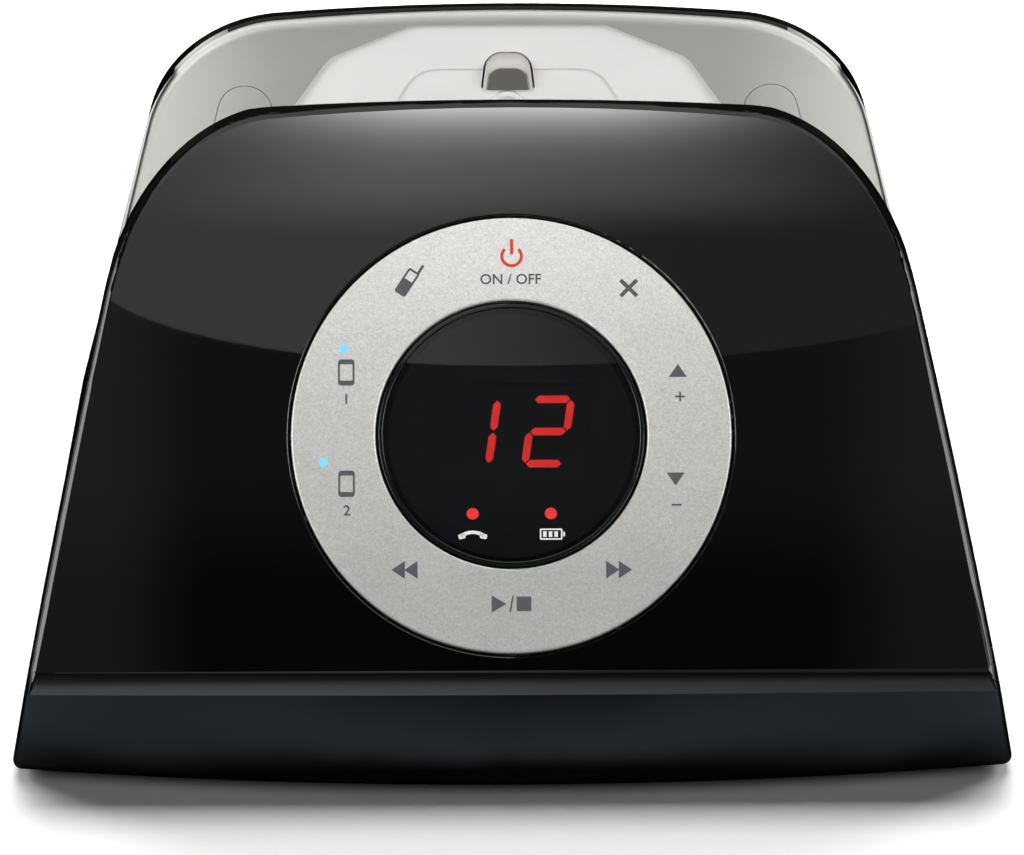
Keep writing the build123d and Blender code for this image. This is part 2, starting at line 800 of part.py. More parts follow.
def make_carrier():
    half = 0.9
    low, high = -pivot_depth - half, -pivot_depth + half
    carrier = tube(carrier_inner, carrier_outer, low, high)
    for x, y in key_places:
        carrier -= drum(pusher_radius + 0.5, low - 1, high + 1, x, y)
    for x, y in guide_places:
        carrier -= drum(guide_radius + 0.5, low - 1, high + 1, x, y)
    across = ring_outer + play + 1.2
    along = ring_outer - 0.4
    start = carrier_outer - 1
    for turn, end in ((0, across), (180, across), (90, along), (270, along)):
        pin = Pos(start, 0, -pivot_depth) * Rot(0, 90, 0) * drum(pivot_radius, 0, end - start)
        carrier += Rot(0, 0, turn) * pin
    return on_panel(carrier)


def make_key_mat():
    mat = tube(ring_inner + 1.6, ring_outer - 1.0, -board_depth, mat_thickness - board_depth)
    for x, y in key_places:
        dome = Cone(3.0, 1.9, dome_height, align=(Align.CENTER, Align.CENTER, Align.MIN))
        mat += Pos(x, y, mat_thickness - board_depth) * dome
    for x, y in guide_places:
        mat -= drum(guide_radius + 0.7, -board_depth - 1, 0, x, y)
    return on_panel(mat)


def make_key_board():
    half = key_board_half
    board = block((-half, half), (-half, half), (-board_depth - board_thickness, -board_depth))
    board = fillet(board.edges().filter_by(Axis.Z), 4.0)
    for x, y in screw_places:
        board -= drum(screw_radius + 0.2, -board_depth - 3, -board_depth + 1, x, y)
    return on_panel(board)


def screw(x, y, face, length):
    """Pan-head screw: its head lies below the face, its shank runs up from it."""
    head = drum(screw_head, face - 1.6, face, x, y)
    rim = [e for e in head.edges() if e.geom_type == GeomType.CIRCLE and e.center().Z < face - 1]
    head = fillet(rim, 0.6)
    head -= block((x - 1.3, x + 1.3), (y - 0.3, y + 0.3), (face - 2, face - 1.0))
    head -= block((x - 0.3, x + 0.3), (y - 1.3, y + 1.3), (face - 2, face - 1.0))
    return head + drum(screw_radius, face - 0.1, face + length, x, y)


def make_bezel():
    outer = ring_inner - play
    bezel = tube(outer - bezel_wall, outer, -board_depth, 0.1)
    bezel += tube(outer - 2.2, outer, -board_depth, 1.0 - board_depth)
    ledge = -window_depth - window_thickness
    bezel += tube(outer - bezel_wall - 0.8, outer, ledge - 1.2, ledge)
    top = [e for e in bezel.edges() if e.geom_type == GeomType.CIRCLE and e.center().Z > 0]
    return on_panel(fillet(top, 0.15))


def make_window():
    radius = ring_inner - play - bezel_wall - seam
    return on_panel(drum(radius, -window_depth - window_thickness, -window_depth))


def segment(points, depth=0.3):
    face = Face(Wire.make_polygon([(x, y, module_top - depth) for x, y in points], close=True))
    return extrude(face, amount=depth, dir=(0, 0, 1))


def bar(y, gap):
    """Outline of a level segment whose middle line lies at height y."""
    half = segment_width / 2
    end = digit_width / 2 - gap - half
    upper = [(half - end, y + half), (end - half, y + half)]
    lower = [(end - half, y - half), (half - end, y - half)]
    return [(-end, y)] + upper + [(end, y)] + lower


def post(x, low, high):
    """Outline of an upright segment between two heights."""
    half = segment_width / 2
    right = [(x + half, low + half), (x + half, high - half)]
    left = [(x - half, high - half), (x - half, low + half)]
    return [(x, low)] + right + [(x, high)] + left


def digit_segments(x0, names):
    """Those of one digit's seven segments that are named."""
    gap = 0.14
    side = (digit_width - segment_width) / 2
    high = (digit_height - segment_width) / 2
    slant = math.tan(math.radians(digit_slant))
    outlines = {
        "a": bar(high, gap),
        "g": bar(0.0, gap),
        "d": bar(-high, gap),
        "b": post(side, gap, high - gap),
        "c": post(side, gap - high, -gap),
        "f": post(-side, gap, high - gap),
        "e": post(-side, gap - high, -gap),
    }
    return [segment([(x0 + x + y * slant, y + digit_rise) for x, y in outlines[name]]) for name in names]


def make_display():
    """The display module and its lit and dark segments, showing twelve."""
    across = (-digit_pitch - 0.6, digit_pitch + 0.6)
    along = (digit_rise - 8.0, digit_rise + 8.0)
    body = block(across, along, (-board_depth, module_top))
    lit = digit_segments(-digit_pitch / 2, "bc") + digit_segments(digit_pitch / 2, "abged")
    dark = digit_segments(-digit_pitch / 2, "aefgd") + digit_segments(digit_pitch / 2, "cf")
    for shape in lit + dark:
        body -= shape
    return on_panel(body), on_panel(group(lit)), on_panel(group(dark))


def make_contact(x):
    """Sprung charging pin: domed head, shank and flange."""
    pin = drum(contact_radius, flange_low, contact_top, x, contact_y)
    top = [e for e in pin.edges() if e.geom_type == GeomType.CIRCLE and e.center().Z > contact_top - 0.01]
    pin = fillet(top, contact_radius * 0.8)
    return pin + drum(flange_radius, flange_low, flange_top, x, contact_y)


def make_contact_spring(x):
    mean = flange_radius - contact_wire / 2 - 0.1
    rise = contact_spring_length - contact_wire - 0.1
    helix = Edge.make_helix(pitch=rise / 4, height=rise, radius=mean)
    section = Plane(origin=helix @ 0, z_dir=helix % 0) * Circle(contact_wire / 2)
    coil = sweep(section, path=helix)
    return Pos(x, contact_y, spring_foot + contact_wire / 2 + 0.05) * coil


def make_contact_block():
    low = spring_foot - 1.0
    half = contact_spread + 6.0
    body = block((-half, half), (contact_y - 5.0, contact_y + 5.0), (low, contact_block_top))
    for side in (-1, 1):
        x = side * contact_spread
        body -= drum(contact_radius + contact_fit, flange_top, contact_block_top + 1, x, contact_y)
        body -= drum(flange_radius + 0.2, spring_foot, flange_top + seam, x, contact_y)
    return body


def path_tube(points, radius):
    """Round lead along a smooth curve through the points."""
    path = Edge.make_spline([Vector(*p) for p in points])
    section = Plane(origin=path @ 0, z_dir=path % 0) * Circle(radius)
    return sweep(section, path=path)


def make_light_guides():
    """Clear pins through the ring, over the two cell lamps."""
    low = -board_depth + 3.0
    return on_panel(group([drum(guide_radius, low, ring_proud, x, y) for x, y in guide_places]))


def make_message_lamps():
    top = module_top - 0.1
    lamps = [drum(lamp_radius, -board_depth, top, side * lamp_spread, -lamp_drop) for side in (-1, 1)]
    return on_panel(group(lamps))


def make_cell_lamps():
    height = (-board_depth, 0.9 - board_depth)
    return on_panel(group([block((x - 0.6, x + 0.6), (y - 0.5, y + 0.5), height) for x, y in guide_places]))


def make_main_board():
    board = block(board_x, board_y, (board_height, board_top))
    for x, y in board_screw_places:
        board -= drum(screw_radius + 0.2, 0, board_top + 1, x, y)
    return board


def flipped_screw(x, y, face, length):
    """Pan-head screw driven from above."""
    return Pos(x, y, face) * Rot(180, 0, 0) * screw(0, 0, 0, length)


def on_board(across, along, size, height, low=0.0):
    """Box on the main board, centred at shares of its width and depth; size is (width, depth)."""
    x = board_x[0] + across * (board_x[1] - board_x[0])
    y = board_y[0] + along * (board_y[1] - board_y[0])
    return block(
        (x - size[0] / 2, x + size[0] / 2),
        (y - size[1] / 2, y + size[1] / 2),
        (board_top + low, board_top + low + height),
    )


def make_chips():
    """Processor, memory, codec and the crystal."""
    return group([
        on_board(0.40, 0.25, (10 * chip_height, 10 * chip_height), chip_height),
        on_board(0.66, 0.32, (8.0, 6.0), chip_height),
        on_board(0.67, 0.45, (10.0, 8.0), chip_height),
        on_board(0.19, 0.51, (5.0, 11.0), crystal_height),
    ])


def make_capacitors():
    cans = []
    for across, along in ((0.9, 0.47), (0.9, 0.575), (0.74, 0.635)):
        x = board_x[0] + across * (board_x[1] - board_x[0])
        y = board_y[0] + along * (board_y[1] - board_y[0])
        can = drum(can_radius, board_top, board_top + can_height, x, y)
        cans.append(fillet([e for e in can.edges() if e.center().Z > board_top + can_height - 1], 0.6))
    return group(cans)


def make_transformer():
    width, depth = coil_size
    core = on_board(0.165, 0.17, (width, depth), 0.3 * coil_height)
    return core + on_board(0.165, 0.17, (0.72 * width, depth), coil_height)


def make_radio():
    """Radio board standing on the main board, its shield, and the antenna board."""
    board = on_board(0.7, 0.13, (radio_size, radio_size), 1.0)
    width, depth = radio_size - 3, radio_size - 4
    shield = on_board(0.7, 0.13, (width, depth), shield_height, 1.0)
    shield = fillet(shield.edges().filter_by(Axis.Z), 0.8)
    shield -= on_board(0.7, 0.13, (width - 0.6, depth - 0.6), shield_height - 0.3, 1.0)
    antenna = on_board(0.88, 0.29, (antenna_width, antenna_thickness), antenna_height)
    return board, shield, antenna


def make_power_jack():
    """Power jack: its bore runs in from the back round a centre pin."""
    centre_z = board_top + power_height / 2
    face = jack_face
    body = block(
        (power_x - power_width / 2, power_x + power_width / 2),
        (face - power_length, face),
        (board_top, board_top + power_height),
    )
    turn = Pos(power_x, face, centre_z) * Rot(-90, 0, 0)
    body -= turn * drum(power_bore, -power_depth, 1)
    return body + turn * drum(1.0, -power_depth - 0.5, -1.0)


def make_line_jack():
    face = jack_face
    floor = board_top
    half = line_width / 2
    body = block((line_x - half, line_x + half), (face - line_length, face), (floor, floor + line_height))
    body -= block((line_x - 4.9, line_x + 4.9), (face - line_depth, face + 1), (floor + 2.4, floor + 9.2))
    body -= block((line_x - 3.1, line_x + 3.1), (face - line_depth, face + 1), (floor + 1.2, floor + 2.5))
    return body


def make_line_contacts():
    """Four sprung wires that lean down into the line jack's opening."""
    wires = []
    for index in range(4):
        x = line_x + (index - 1.5) * 1.02
        low, high = board_top + 6.4, board_top + 9.2
        near, far = jack_face - 2.0, jack_face - line_depth + 1.5
        points = [(near, high), (far, low), (far, low - 0.35), (near, high - 0.35)]
        face = Face(Wire.make_polygon([(x - 0.2, y, z) for y, z in points], close=True))
        wires.append(extrude(face, amount=0.4, dir=(1, 0, 0)))
    return group(wires)


def make_speaker():
    """Loudspeaker facing down on the base plate: basket, cone and magnet."""
    low = base_top + seam
    place = Pos(speaker_x, speaker_y, low)
    basket = tube(speaker_radius - 2.5, speaker_radius, 0, 1.0)
    basket += tube(speaker_radius - 3.5, speaker_radius - 2.0, 0.9, 5.0)
    basket += tube(8.0, speaker_radius - 2.0, 5.0, 6.0)
    for turn in range(0, 360, 90):
        basket -= Rot(0, 0, turn) * block((9.5, speaker_radius - 4.5), (-4.5, 4.5), (4.5, 7))
    bell = Cone(speaker_radius - 2.7, 7.0, 4.3, align=(Align.CENTER, Align.CENTER, Align.MIN))
    cone = bell - Pos(0, 0, -0.5) * bell
    cone = Pos(0, 0, 0.55) * (cone + drum(7.0, 3.8, 4.3))
    magnet = drum(9.0, 6.0, 11.0) + drum(7.0, 11.0, 12.5)
    return place * basket, place * cone, place * magnet


def make_ribbon():
    """Flat cable from the back of the key board down to the main board."""
    start = panel_frame.from_local_coords((0, 5 - key_board_half, -board_depth - board_thickness))
    start_y, start_z = start.Y, start.Z
    end_y = start_y + 8
    path = Edge.make_spline(
        [Vector(0, start_y, start_z), Vector(0, end_y, board_top + 0.3)],
        tangents=[Vector(0, sin_panel, -cos_panel), Vector(0, 0.3, -1)],
    )
    section = Plane(origin=path @ 0, x_dir=(1, 0, 0), z_dir=path % 0) * Rectangle(12, 0.5)
    return Pos(6, 0, 0) * sweep(section, path=path)


def make_leads():
    """Speaker leads and charge leads, two wires each."""
    speaker_end = base_top + 9.0
    speaker_leads = [
        path_tube([
            (speaker_x + 9.6, speaker_y + side * 1.5, speaker_end),
            (speaker_x + 20, speaker_y + side * 2.0, board_top + 8),
            (board_x[0] + 3, speaker_y + side * 2.0, board_top + 0.6),
        ], 0.6)
        for side in (-1, 1)
    ]
    charge_leads = [
        path_tube([
            (side * contact_spread, contact_y - 5.6, spring_foot + 1),
            (side * contact_spread, contact_y - 9, board_top + 4),
            (side * contact_spread * 0.9, contact_y - 10, board_top + 0.6),
        ], 0.5)
        for side in (-1, 1)
    ]
    return group(speaker_leads), group(charge_leads)


def make_feet():
    feet = []
    for x, y in foot_places:
        foot = drum(foot_radius, 0, ground_gap + foot_inset, x, y)
        rim = [e for e in foot.edges() if e.center().Z < 0.1 and e.geom_type == GeomType.CIRCLE]
        feet.append(fillet(rim, 0.4))
    return group(feet)


def save(name, shape):
    """Write one node, shifted so that the origin lies under the middle of the body's depth."""
    solids = [Pos(0, -middle_y, 0) * solid for solid in shape.solids()]
    whole = solids[0] if len(solids) == 1 else Compound(children=solids)
    export_step(whole, f"parts/{name}.step")


def main():
    save("front_shell", make_front_shell())
    save("rear_shell", make_rear_shell())
    save("base_plate", make_base_plate())
    save("cradle_liner", make_liner())
    save("cradle_pocket", make_pocket())
    save("handset_tab", make_tab())
    save("side_caps", group([cap_shape(side, 0.0, cap_depth) for side in (-1, 1)]))
    save("key_ring", make_key_ring())
    save("key_ring_carrier", make_carrier())
    save("light_guides", make_light_guides())
    save("key_mat", make_key_mat())
    save("key_board", make_key_board())
    save("cell_lamps", make_cell_lamps())
    save("message_lamps", make_message_lamps())
    save("window_bezel", make_bezel())
    save("display_window", make_window())
    module, lit, dark = make_display()
    save("display_module", module)
    save("lit_segments", lit)
    save("dark_segments", dark)
    back = -board_depth - board_thickness
    save("key_board_screws", on_panel(group([screw(x, y, back, 6.0) for x, y in screw_places])))
    save("main_board", make_main_board())
    save("main_board_screws", group([flipped_screw(x, y, board_top, 5.0) for x, y in board_screw_places]))
    save("processor_chips", make_chips())
    save("capacitors", make_capacitors())
    save("line_transformer", make_transformer())
    board, shield, antenna = make_radio()
    save("radio_board", board)
    save("radio_shield", shield)
    save("antenna", antenna)
    save("power_jack", make_power_jack())
    save("line_jack", make_line_jack())
    save("line_contacts", make_line_contacts())
    basket, cone, magnet = make_speaker()
    save("speaker_frame", basket)
    save("speaker_cone", cone)
    save("speaker_magnet", magnet)
    save("contact_block", make_contact_block())
    for name, side in (("left", -1), ("right", 1)):
        save(f"{name}_charge_contact", make_contact(side * contact_spread))
        save(f"{name}_contact_spring", make_contact_spring(side * contact_spread))
    save("ribbon_cable", make_ribbon())
    speaker_leads, charge_leads = make_leads()
    save("speaker_leads", speaker_leads)
    save("charge_leads", charge_leads)
    save("base_screws", group([screw(x, y, ground_gap + 1.0, 6.5) for x, y in base_screw_places]))
    save("rubber_feet", make_feet())


main()
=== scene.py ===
"""Looks of a phone base with a message counter, dressed over its packed construction model."""

import json
import logging
import math
from dataclasses import dataclass
from enum import Enum
from typing import Any, ClassVar, Iterable, Sequence

import bmesh
import bpy
from mathutils import Matrix, Vector


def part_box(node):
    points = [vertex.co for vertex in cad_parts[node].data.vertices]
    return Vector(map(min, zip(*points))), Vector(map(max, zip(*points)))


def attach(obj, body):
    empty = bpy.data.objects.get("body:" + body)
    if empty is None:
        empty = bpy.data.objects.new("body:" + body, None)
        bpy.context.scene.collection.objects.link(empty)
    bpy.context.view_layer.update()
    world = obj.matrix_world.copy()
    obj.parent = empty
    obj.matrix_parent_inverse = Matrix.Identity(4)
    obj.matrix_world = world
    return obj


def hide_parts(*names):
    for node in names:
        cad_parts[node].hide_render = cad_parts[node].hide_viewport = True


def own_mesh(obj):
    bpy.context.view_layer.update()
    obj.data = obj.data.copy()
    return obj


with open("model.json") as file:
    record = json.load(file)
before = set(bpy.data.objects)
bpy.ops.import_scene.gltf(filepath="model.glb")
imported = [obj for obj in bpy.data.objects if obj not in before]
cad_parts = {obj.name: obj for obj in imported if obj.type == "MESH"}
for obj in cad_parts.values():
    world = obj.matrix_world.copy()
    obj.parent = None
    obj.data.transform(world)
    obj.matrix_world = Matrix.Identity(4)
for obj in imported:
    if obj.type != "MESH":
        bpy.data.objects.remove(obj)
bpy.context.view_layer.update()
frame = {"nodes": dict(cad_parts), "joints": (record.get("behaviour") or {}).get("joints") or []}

LOG = logging.getLogger("phone_base")
MM = 0.001
Colour = tuple[float, float, float]
Point = tuple[float, float]
Place = tuple[float, float, float]
Loop = list[Point]
Socket = bpy.types.NodeSocket
Piece = bpy.types.Object

DUST_COLOUR = (0.45, 0.44, 0.42)
RUBBED_COLOUR = (0.22, 0.22, 0.22)
BLACK = (0.0, 0.0, 0.0)
WHITE = (1.0, 1.0, 1.0)
DOUBLE = (2.0, 2.0, 2.0)
CAPITAL_SHARE = 0.72
STROKE_GAIN = 0.02


class Body(Enum):
    """The rigid bodies that pieces ride on."""

    HOUSING = "housing"
    RING = "ring"


class Tree:
    """Adds and joins nodes in one node tree."""

    def __init__(self, tree: bpy.types.NodeTree) -> None:
        """Start on a tree.

        Args:
            tree: The node tree to fill.
        """
        self.tree = tree

    def add(self, kind: str, **settings: Any) -> bpy.types.Node:
        """Add a node.

        Args:
            kind: Blender's type name of the node.
            settings: Properties to set on it.

        Returns:
            The new node.
        """
        node = self.tree.nodes.new(kind)
        for name, value in settings.items():
            setattr(node, name, value)
        return node

    def feed(self, target: Socket, value: Any) -> None:
        """Join an output to an input, or set the input's own value.

        Args:
            target: The input socket.
            value: An output socket, a number or a tuple.
        """
        if isinstance(value, Socket):
            self.tree.links.new(value, target)
        else:
            target.default_value = value

    def maths(self, operation: str, *values: Any, clamp: bool = False) -> Socket:
        """Arithmetic on one to three values.

        Args:
            operation: Blender's name of the operation.
            values: Output sockets or numbers.
            clamp: Hold the result between 0 and 1.

        Returns:
            The result's socket.
        """
        node = self.add("ShaderNodeMath", operation=operation, use_clamp=clamp)
        for target, value in zip(node.inputs, values):
            self.feed(target, value)
        return node.outputs[0]

    def product(self, first: Any, *others: Any) -> Socket:
        """Values multiplied in turn.

        Args:
            first: Output socket or number.
            others: More of them.

        Returns:
            The product's socket.
        """
        for other in others:
            first = self.maths("MULTIPLY", first, other)
        return first

    def ramp(self, value: Any, low: Any, high: Any, to_low: float = 0.0, to_high: float = 1.0) -> Socket:
        """Map a value smoothly from one range to another, held at both ends.

        Args:
            value: The socket to map.
            low: Value that gives to_low.
            high: Value that gives to_high.
            to_low: Result at low.
            to_high: Result at high.

        Returns:
            The result's socket.
        """
        node = self.add("ShaderNodeMapRange", interpolation_type="SMOOTHSTEP")
        names = ("Value", "From Min", "From Max", "To Min", "To Max")
        for name, number in zip(names, (value, low, high, to_low, to_high)):
            self.feed(node.inputs[name], number)
        return node.outputs[0]

    def mix(self, share: Any, first: Any, second: Any, blend: str = "MIX") -> Socket:
        """Blend two colours.

        Args:
            share: How much of the second shows.
            first: Colour or socket.
            second: Colour or socket.
            blend: Blender's name of the blend.

        Returns:
            The colour's socket.
        """
        node = self.add("ShaderNodeMix", data_type="RGBA", blend_type=blend)
        colours = [socket for socket in node.inputs if socket.type == "RGBA"]
        self.feed(node.inputs[0], share)
        for target, value in zip(colours, (first, second)):
            self.feed(target, rgba(value) if isinstance(value, tuple) else value)
        return next(socket for socket in node.outputs if socket.type == "RGBA")

    def noise(self, vector: Any, scale: Any, detail: float = 2.0, warp: float = 0.0) -> Socket:
        """Soft noise.

        Args:
            vector: Coordinates.
            scale: Cells per metre.
            detail: Octaves.
            warp: Distortion.

        Returns:
            The noise's value.
        """
        node = self.add("ShaderNodeTexNoise")
        for name, value in (("Vector", vector), ("Scale", scale), ("Detail", detail), ("Distortion", warp)):
            self.feed(node.inputs[name], value)
        return node.outputs[0]

    def cells(self, vector: Any, scale: Any, feature: str = "F1", output: str = "Distance") -> Socket:
        """Cell pattern.

        Args:
            vector: Coordinates.
            scale: Cells per metre.
            feature: Blender's name of the measured feature.
            output: Name of the wanted output.

        Returns:
            The wanted output.
        """
        node = self.add("ShaderNodeTexVoronoi", feature=feature)
        self.feed(node.inputs["Vector"], vector)
        self.feed(node.inputs["Scale"], scale)
        return node.outputs[output]

    def stretched(self, vector: Any, factors: Sequence[float]) -> Socket:
        """Coordinates scaled unevenly.

        Args:
            vector: Coordinates.
            factors: Scale along each axis.

        Returns:
            The scaled coordinates.
        """
        node = self.add("ShaderNodeVectorMath", operation="MULTIPLY")
        self.feed(node.inputs[0], vector)
        self.feed(node.inputs[1], tuple(factors))
        return node.outputs[0]

    def axis(self, vector: Any, letter: str) -> Socket:
        """One component of a vector.

        Args:
            vector: Coordinates or a direction.
            letter: X, Y or Z.

        Returns:
            The component's socket.
        """
        node = self.add("ShaderNodeSeparateXYZ")
        self.feed(node.inputs[0], vector)
        return node.outputs[letter]


def rgba(colour: Sequence[float]) -> tuple[float, ...]:
    """Colour with full alpha."""
    return (*colour[:3], 1.0)


class Effect:
    """A shader node group, made once and placed in many finishes."""

    title: ClassVar[str] = ""
    inputs: ClassVar[dict[str, Any]] = {}
    outputs: ClassVar[dict[str, str]] = {}
    made: ClassVar[dict[str, bpy.types.NodeTree]] = {}

    @classmethod
    def wire(cls, tree: Tree, source: Any, sink: Any) -> None:
        """Fill the group.

        Args:
            tree: The group's tree.
            source: Sockets of the group's inputs, by name.
            sink: Sockets of the group's outputs, by name.
        """
        raise NotImplementedError

    @classmethod
    def group(cls) -> bpy.types.NodeTree:
        """The group, made at its first use.

        Returns:
            The node group.
        """
        if cls.title not in Effect.made:
            group = bpy.data.node_groups.new(cls.title, "ShaderNodeTree")
            for name, value in cls.inputs.items():
                kind = "Vector" if value is None else "Color" if isinstance(value, tuple) else "Float"
                socket = group.interface.new_socket(name, in_out="INPUT", socket_type=f"NodeSocket{kind}")
                if value is not None:
                    socket.default_value = rgba(value) if isinstance(value, tuple) else value
            for name, kind in cls.outputs.items():
                group.interface.new_socket(name, in_out="OUTPUT", socket_type=f"NodeSocket{kind}")
            tree = Tree(group)
            source = tree.add("NodeGroupInput")
            sink = tree.add("NodeGroupOutput")
            cls.wire(tree, source.outputs, sink.inputs)
            Effect.made[cls.title] = group
        return Effect.made[cls.title]


class Grain(Effect):
    """Fine spark-eroded texture of a moulded surface."""

    title = "mould_grain"
    inputs = {"Vector": None, "Size": 2500.0}
    outputs = {"Height": "Float", "Speckle": "Float"}

    @classmethod
    def wire(cls, tree: Tree, source: Any, sink: Any) -> None:
        """Cells broken up by noise.

        Args:
            tree: The group's tree.
            source: Sockets of the group's inputs, by name.
            sink: Sockets of the group's outputs, by name.
        """
        cells = tree.cells(source["Vector"], source["Size"], "SMOOTH_F1")
        noise = tree.noise(source["Vector"], tree.product(source["Size"], 0.6), 3.0)
        tree.feed(sink["Height"], tree.maths("ADD", tree.product(cells, 0.6), noise))
        tree.feed(sink["Speckle"], tree.ramp(noise, 0.38, 0.62))


class ToneDrift(Effect):
    """Slow change of colour across a moulding."""

    title = "tone_drift"
    inputs = {"Vector": None, "Base": (0.5, 0.5, 0.5), "Shade": (0.4, 0.4, 0.4), "Size": 30.0, "Reach": 1.0}
    outputs = {"Color": "Color", "Mask": "Float"}

    @classmethod
    def wire(cls, tree: Tree, source: Any, sink: Any) -> None:
        """Two octaves of noise between the base and the shade.

        Args:
            tree: The group's tree.
            source: Sockets of the group's inputs, by name.
            sink: Sockets of the group's outputs, by name.
        """
        noise = tree.noise(source["Vector"], source["Size"], 2.0, 0.4)
        mask = tree.product(tree.ramp(noise, 0.35, 0.7), source["Reach"])
        tree.feed(sink["Color"], tree.mix(mask, source["Base"], source["Shade"]))
        tree.feed(sink["Mask"], mask)


class Handling(Effect):
    """Faint smears and hairline scratches left by hands and cloths."""

    title = "handling"
    inputs = {"Vector": None, "Smear": 1.0, "Hairline": 1.0}
    outputs = {"Smear": "Float", "Hairline": "Float"}

    @classmethod
    def wire(cls, tree: Tree, source: Any, sink: Any) -> None:
        """Wide warped noise, and two sets of long thin streaks.

        Args:
            tree: The group's tree.
            source: Sockets of the group's inputs, by name.
            sink: Sockets of the group's outputs, by name.
        """
        smear = tree.ramp(tree.noise(source["Vector"], 45.0, 4.0, 1.6), 0.48, 0.78)
        tree.feed(sink["Smear"], tree.product(smear, source["Smear"]))
        lines = []
        for factors in ((1.0, 22.0, 22.0), (17.0, 1.5, 3.0)):
            streak = tree.noise(tree.stretched(source["Vector"], factors), 140.0, 2.0, 0.5)
            lines.append(tree.ramp(streak, 0.66, 0.72))
        tree.feed(sink["Hairline"], tree.product(tree.maths("MAXIMUM", *lines), source["Hairline"]))


class Dust(Effect):
    """Thin dust on faces that look up, caught in patches."""

    title = "settled_dust"
    inputs = {"Vector": None, "Amount": 0.2}
    outputs = {"Mask": "Float"}

    @classmethod
    def wire(cls, tree: Tree, source: Any, sink: Any) -> None:
        """Upward share of the normal times fine noise.

        Args:
            tree: The group's tree.
            source: Sockets of the group's inputs, by name.
            sink: Sockets of the group's outputs, by name.
        """
        geometry = tree.add("ShaderNodeNewGeometry")
        up = tree.ramp(tree.axis(geometry.outputs["Normal"], "Z"), 0.55, 1.0)
        patch = tree.ramp(tree.noise(source["Vector"], 900.0, 3.0), 0.45, 0.75)
        tree.feed(sink["Mask"], tree.product(up, patch, source["Amount"]))


class Flake(Effect):
    """Fine aluminium flake in a silver lacquer."""

    title = "lacquer_flake"
    inputs = {"Vector": None, "Size": 5200.0}
    outputs = {"Glint": "Float", "Height": "Float"}

    @classmethod
    def wire(cls, tree: Tree, source: Any, sink: Any) -> None:
        """A random tone for each flake, and a small step between flakes.

        Args:
            tree: The group's tree.
            source: Sockets of the group's inputs, by name.
            sink: Sockets of the group's outputs, by name.
        """
        colour = tree.cells(source["Vector"], source["Size"], "F1", "Color")
        tone = tree.maths("SUBTRACT", tree.axis(colour, "X"), 0.5)
        patch = tree.noise(source["Vector"], tree.product(source["Size"], 0.22), 2.0)
        cloud = tree.maths("SUBTRACT", patch, 0.5)
        tree.feed(sink["Glint"], tree.maths("ADD", tone, cloud))
        tree.feed(sink["Height"], tree.axis(colour, "Y"))


class TableScuff(Effect):
    """Rubbed patches close to the table."""

    title = "table_scuff"
    inputs = {"Vector": None, "Reach": 0.006, "Amount": 0.5}
    outputs = {"Mask": "Float"}

    @classmethod
    def wire(cls, tree: Tree, source: Any, sink: Any) -> None:
        """Height over the table against noise.

        Args:
            tree: The group's tree.
            source: Sockets of the group's inputs, by name.
            sink: Sockets of the group's outputs, by name.
        """
        share = tree.maths("DIVIDE", tree.axis(source["Vector"], "Z"), source["Reach"])
        low = tree.maths("SUBTRACT", 1.0, share, clamp=True)
        patch = tree.ramp(tree.noise(source["Vector"], 320.0, 4.0, 0.8), 0.5, 0.68)
        tree.feed(sink["Mask"], tree.product(low, patch, source["Amount"]))


class Undercut(Effect):
    """Mask of the faces that lean over and look down; it places painted shade."""

    title = "undercut"
    inputs = {"Vector": None, "Level": 0.0, "Soft": 0.2}
    outputs = {"Mask": "Float"}

    @classmethod
    def wire(cls, tree: Tree, source: Any, sink: Any) -> None:
        """Downward share of the normal, past a level.

        Args:
            tree: The group's tree.
            source: Sockets of the group's inputs, by name.
            sink: Sockets of the group's outputs, by name.
        """
        geometry = tree.add("ShaderNodeNewGeometry")
        down = tree.product(tree.axis(geometry.outputs["Normal"], "Z"), -1.0)
        past = tree.maths("SUBTRACT", down, source["Level"])
        tree.feed(sink["Mask"], tree.maths("DIVIDE", past, source["Soft"], clamp=True))


class FrontEdge(Effect):
    """Mask of the forward-facing edge of a wall, within a band of heights and away from the middle."""

    title = "front_edge"
    inputs = {"Vector": None, "Low": 0.03, "High": 0.077, "Aside": 0.045, "Fade": 0.006}
    outputs = {"Mask": "Float"}

    @classmethod
    def wire(cls, tree: Tree, source: Any, sink: Any) -> None:
        """Forward share of the normal, times the band and the distance from the middle.

        Args:
            tree: The group's tree.
            source: Sockets of the group's inputs, by name.
            sink: Sockets of the group's outputs, by name.
        """
        geometry = tree.add("ShaderNodeNewGeometry")
        ahead = tree.ramp(tree.axis(geometry.outputs["Normal"], "Y"), -0.15, 0.0, 1.0, 0.0)
        height = tree.axis(source["Vector"], "Z")
        over = tree.maths("GREATER_THAN", height, source["Low"])
        fading = tree.maths("SUBTRACT", source["High"], source["Fade"])
        under = tree.ramp(height, fading, source["High"], 1.0, 0.0)
        away = tree.maths("ABSOLUTE", tree.axis(source["Vector"], "X"))
        side = tree.maths("GREATER_THAN", away, source["Aside"])
        tree.feed(sink["Mask"], tree.product(ahead, tree.product(over, under, side)))


class Climb(Effect):
    """Mask that grows with height; it places painted light on the key ring."""

    title = "climb"
    inputs = {"Vector": None, "Low": 0.028, "High": 0.062}
    outputs = {"Mask": "Float"}

    @classmethod
    def wire(cls, tree: Tree, source: Any, sink: Any) -> None:
        """Height between two levels.

        Args:
            tree: The group's tree.
            source: Sockets of the group's inputs, by name.
            sink: Sockets of the group's outputs, by name.
        """
        height = tree.axis(source["Vector"], "Z")
        span = tree.maths("SUBTRACT", source["High"], source["Low"])
        share = tree.maths("DIVIDE", tree.maths("SUBTRACT", height, source["Low"]), span, clamp=True)
        tree.feed(sink["Mask"], share)


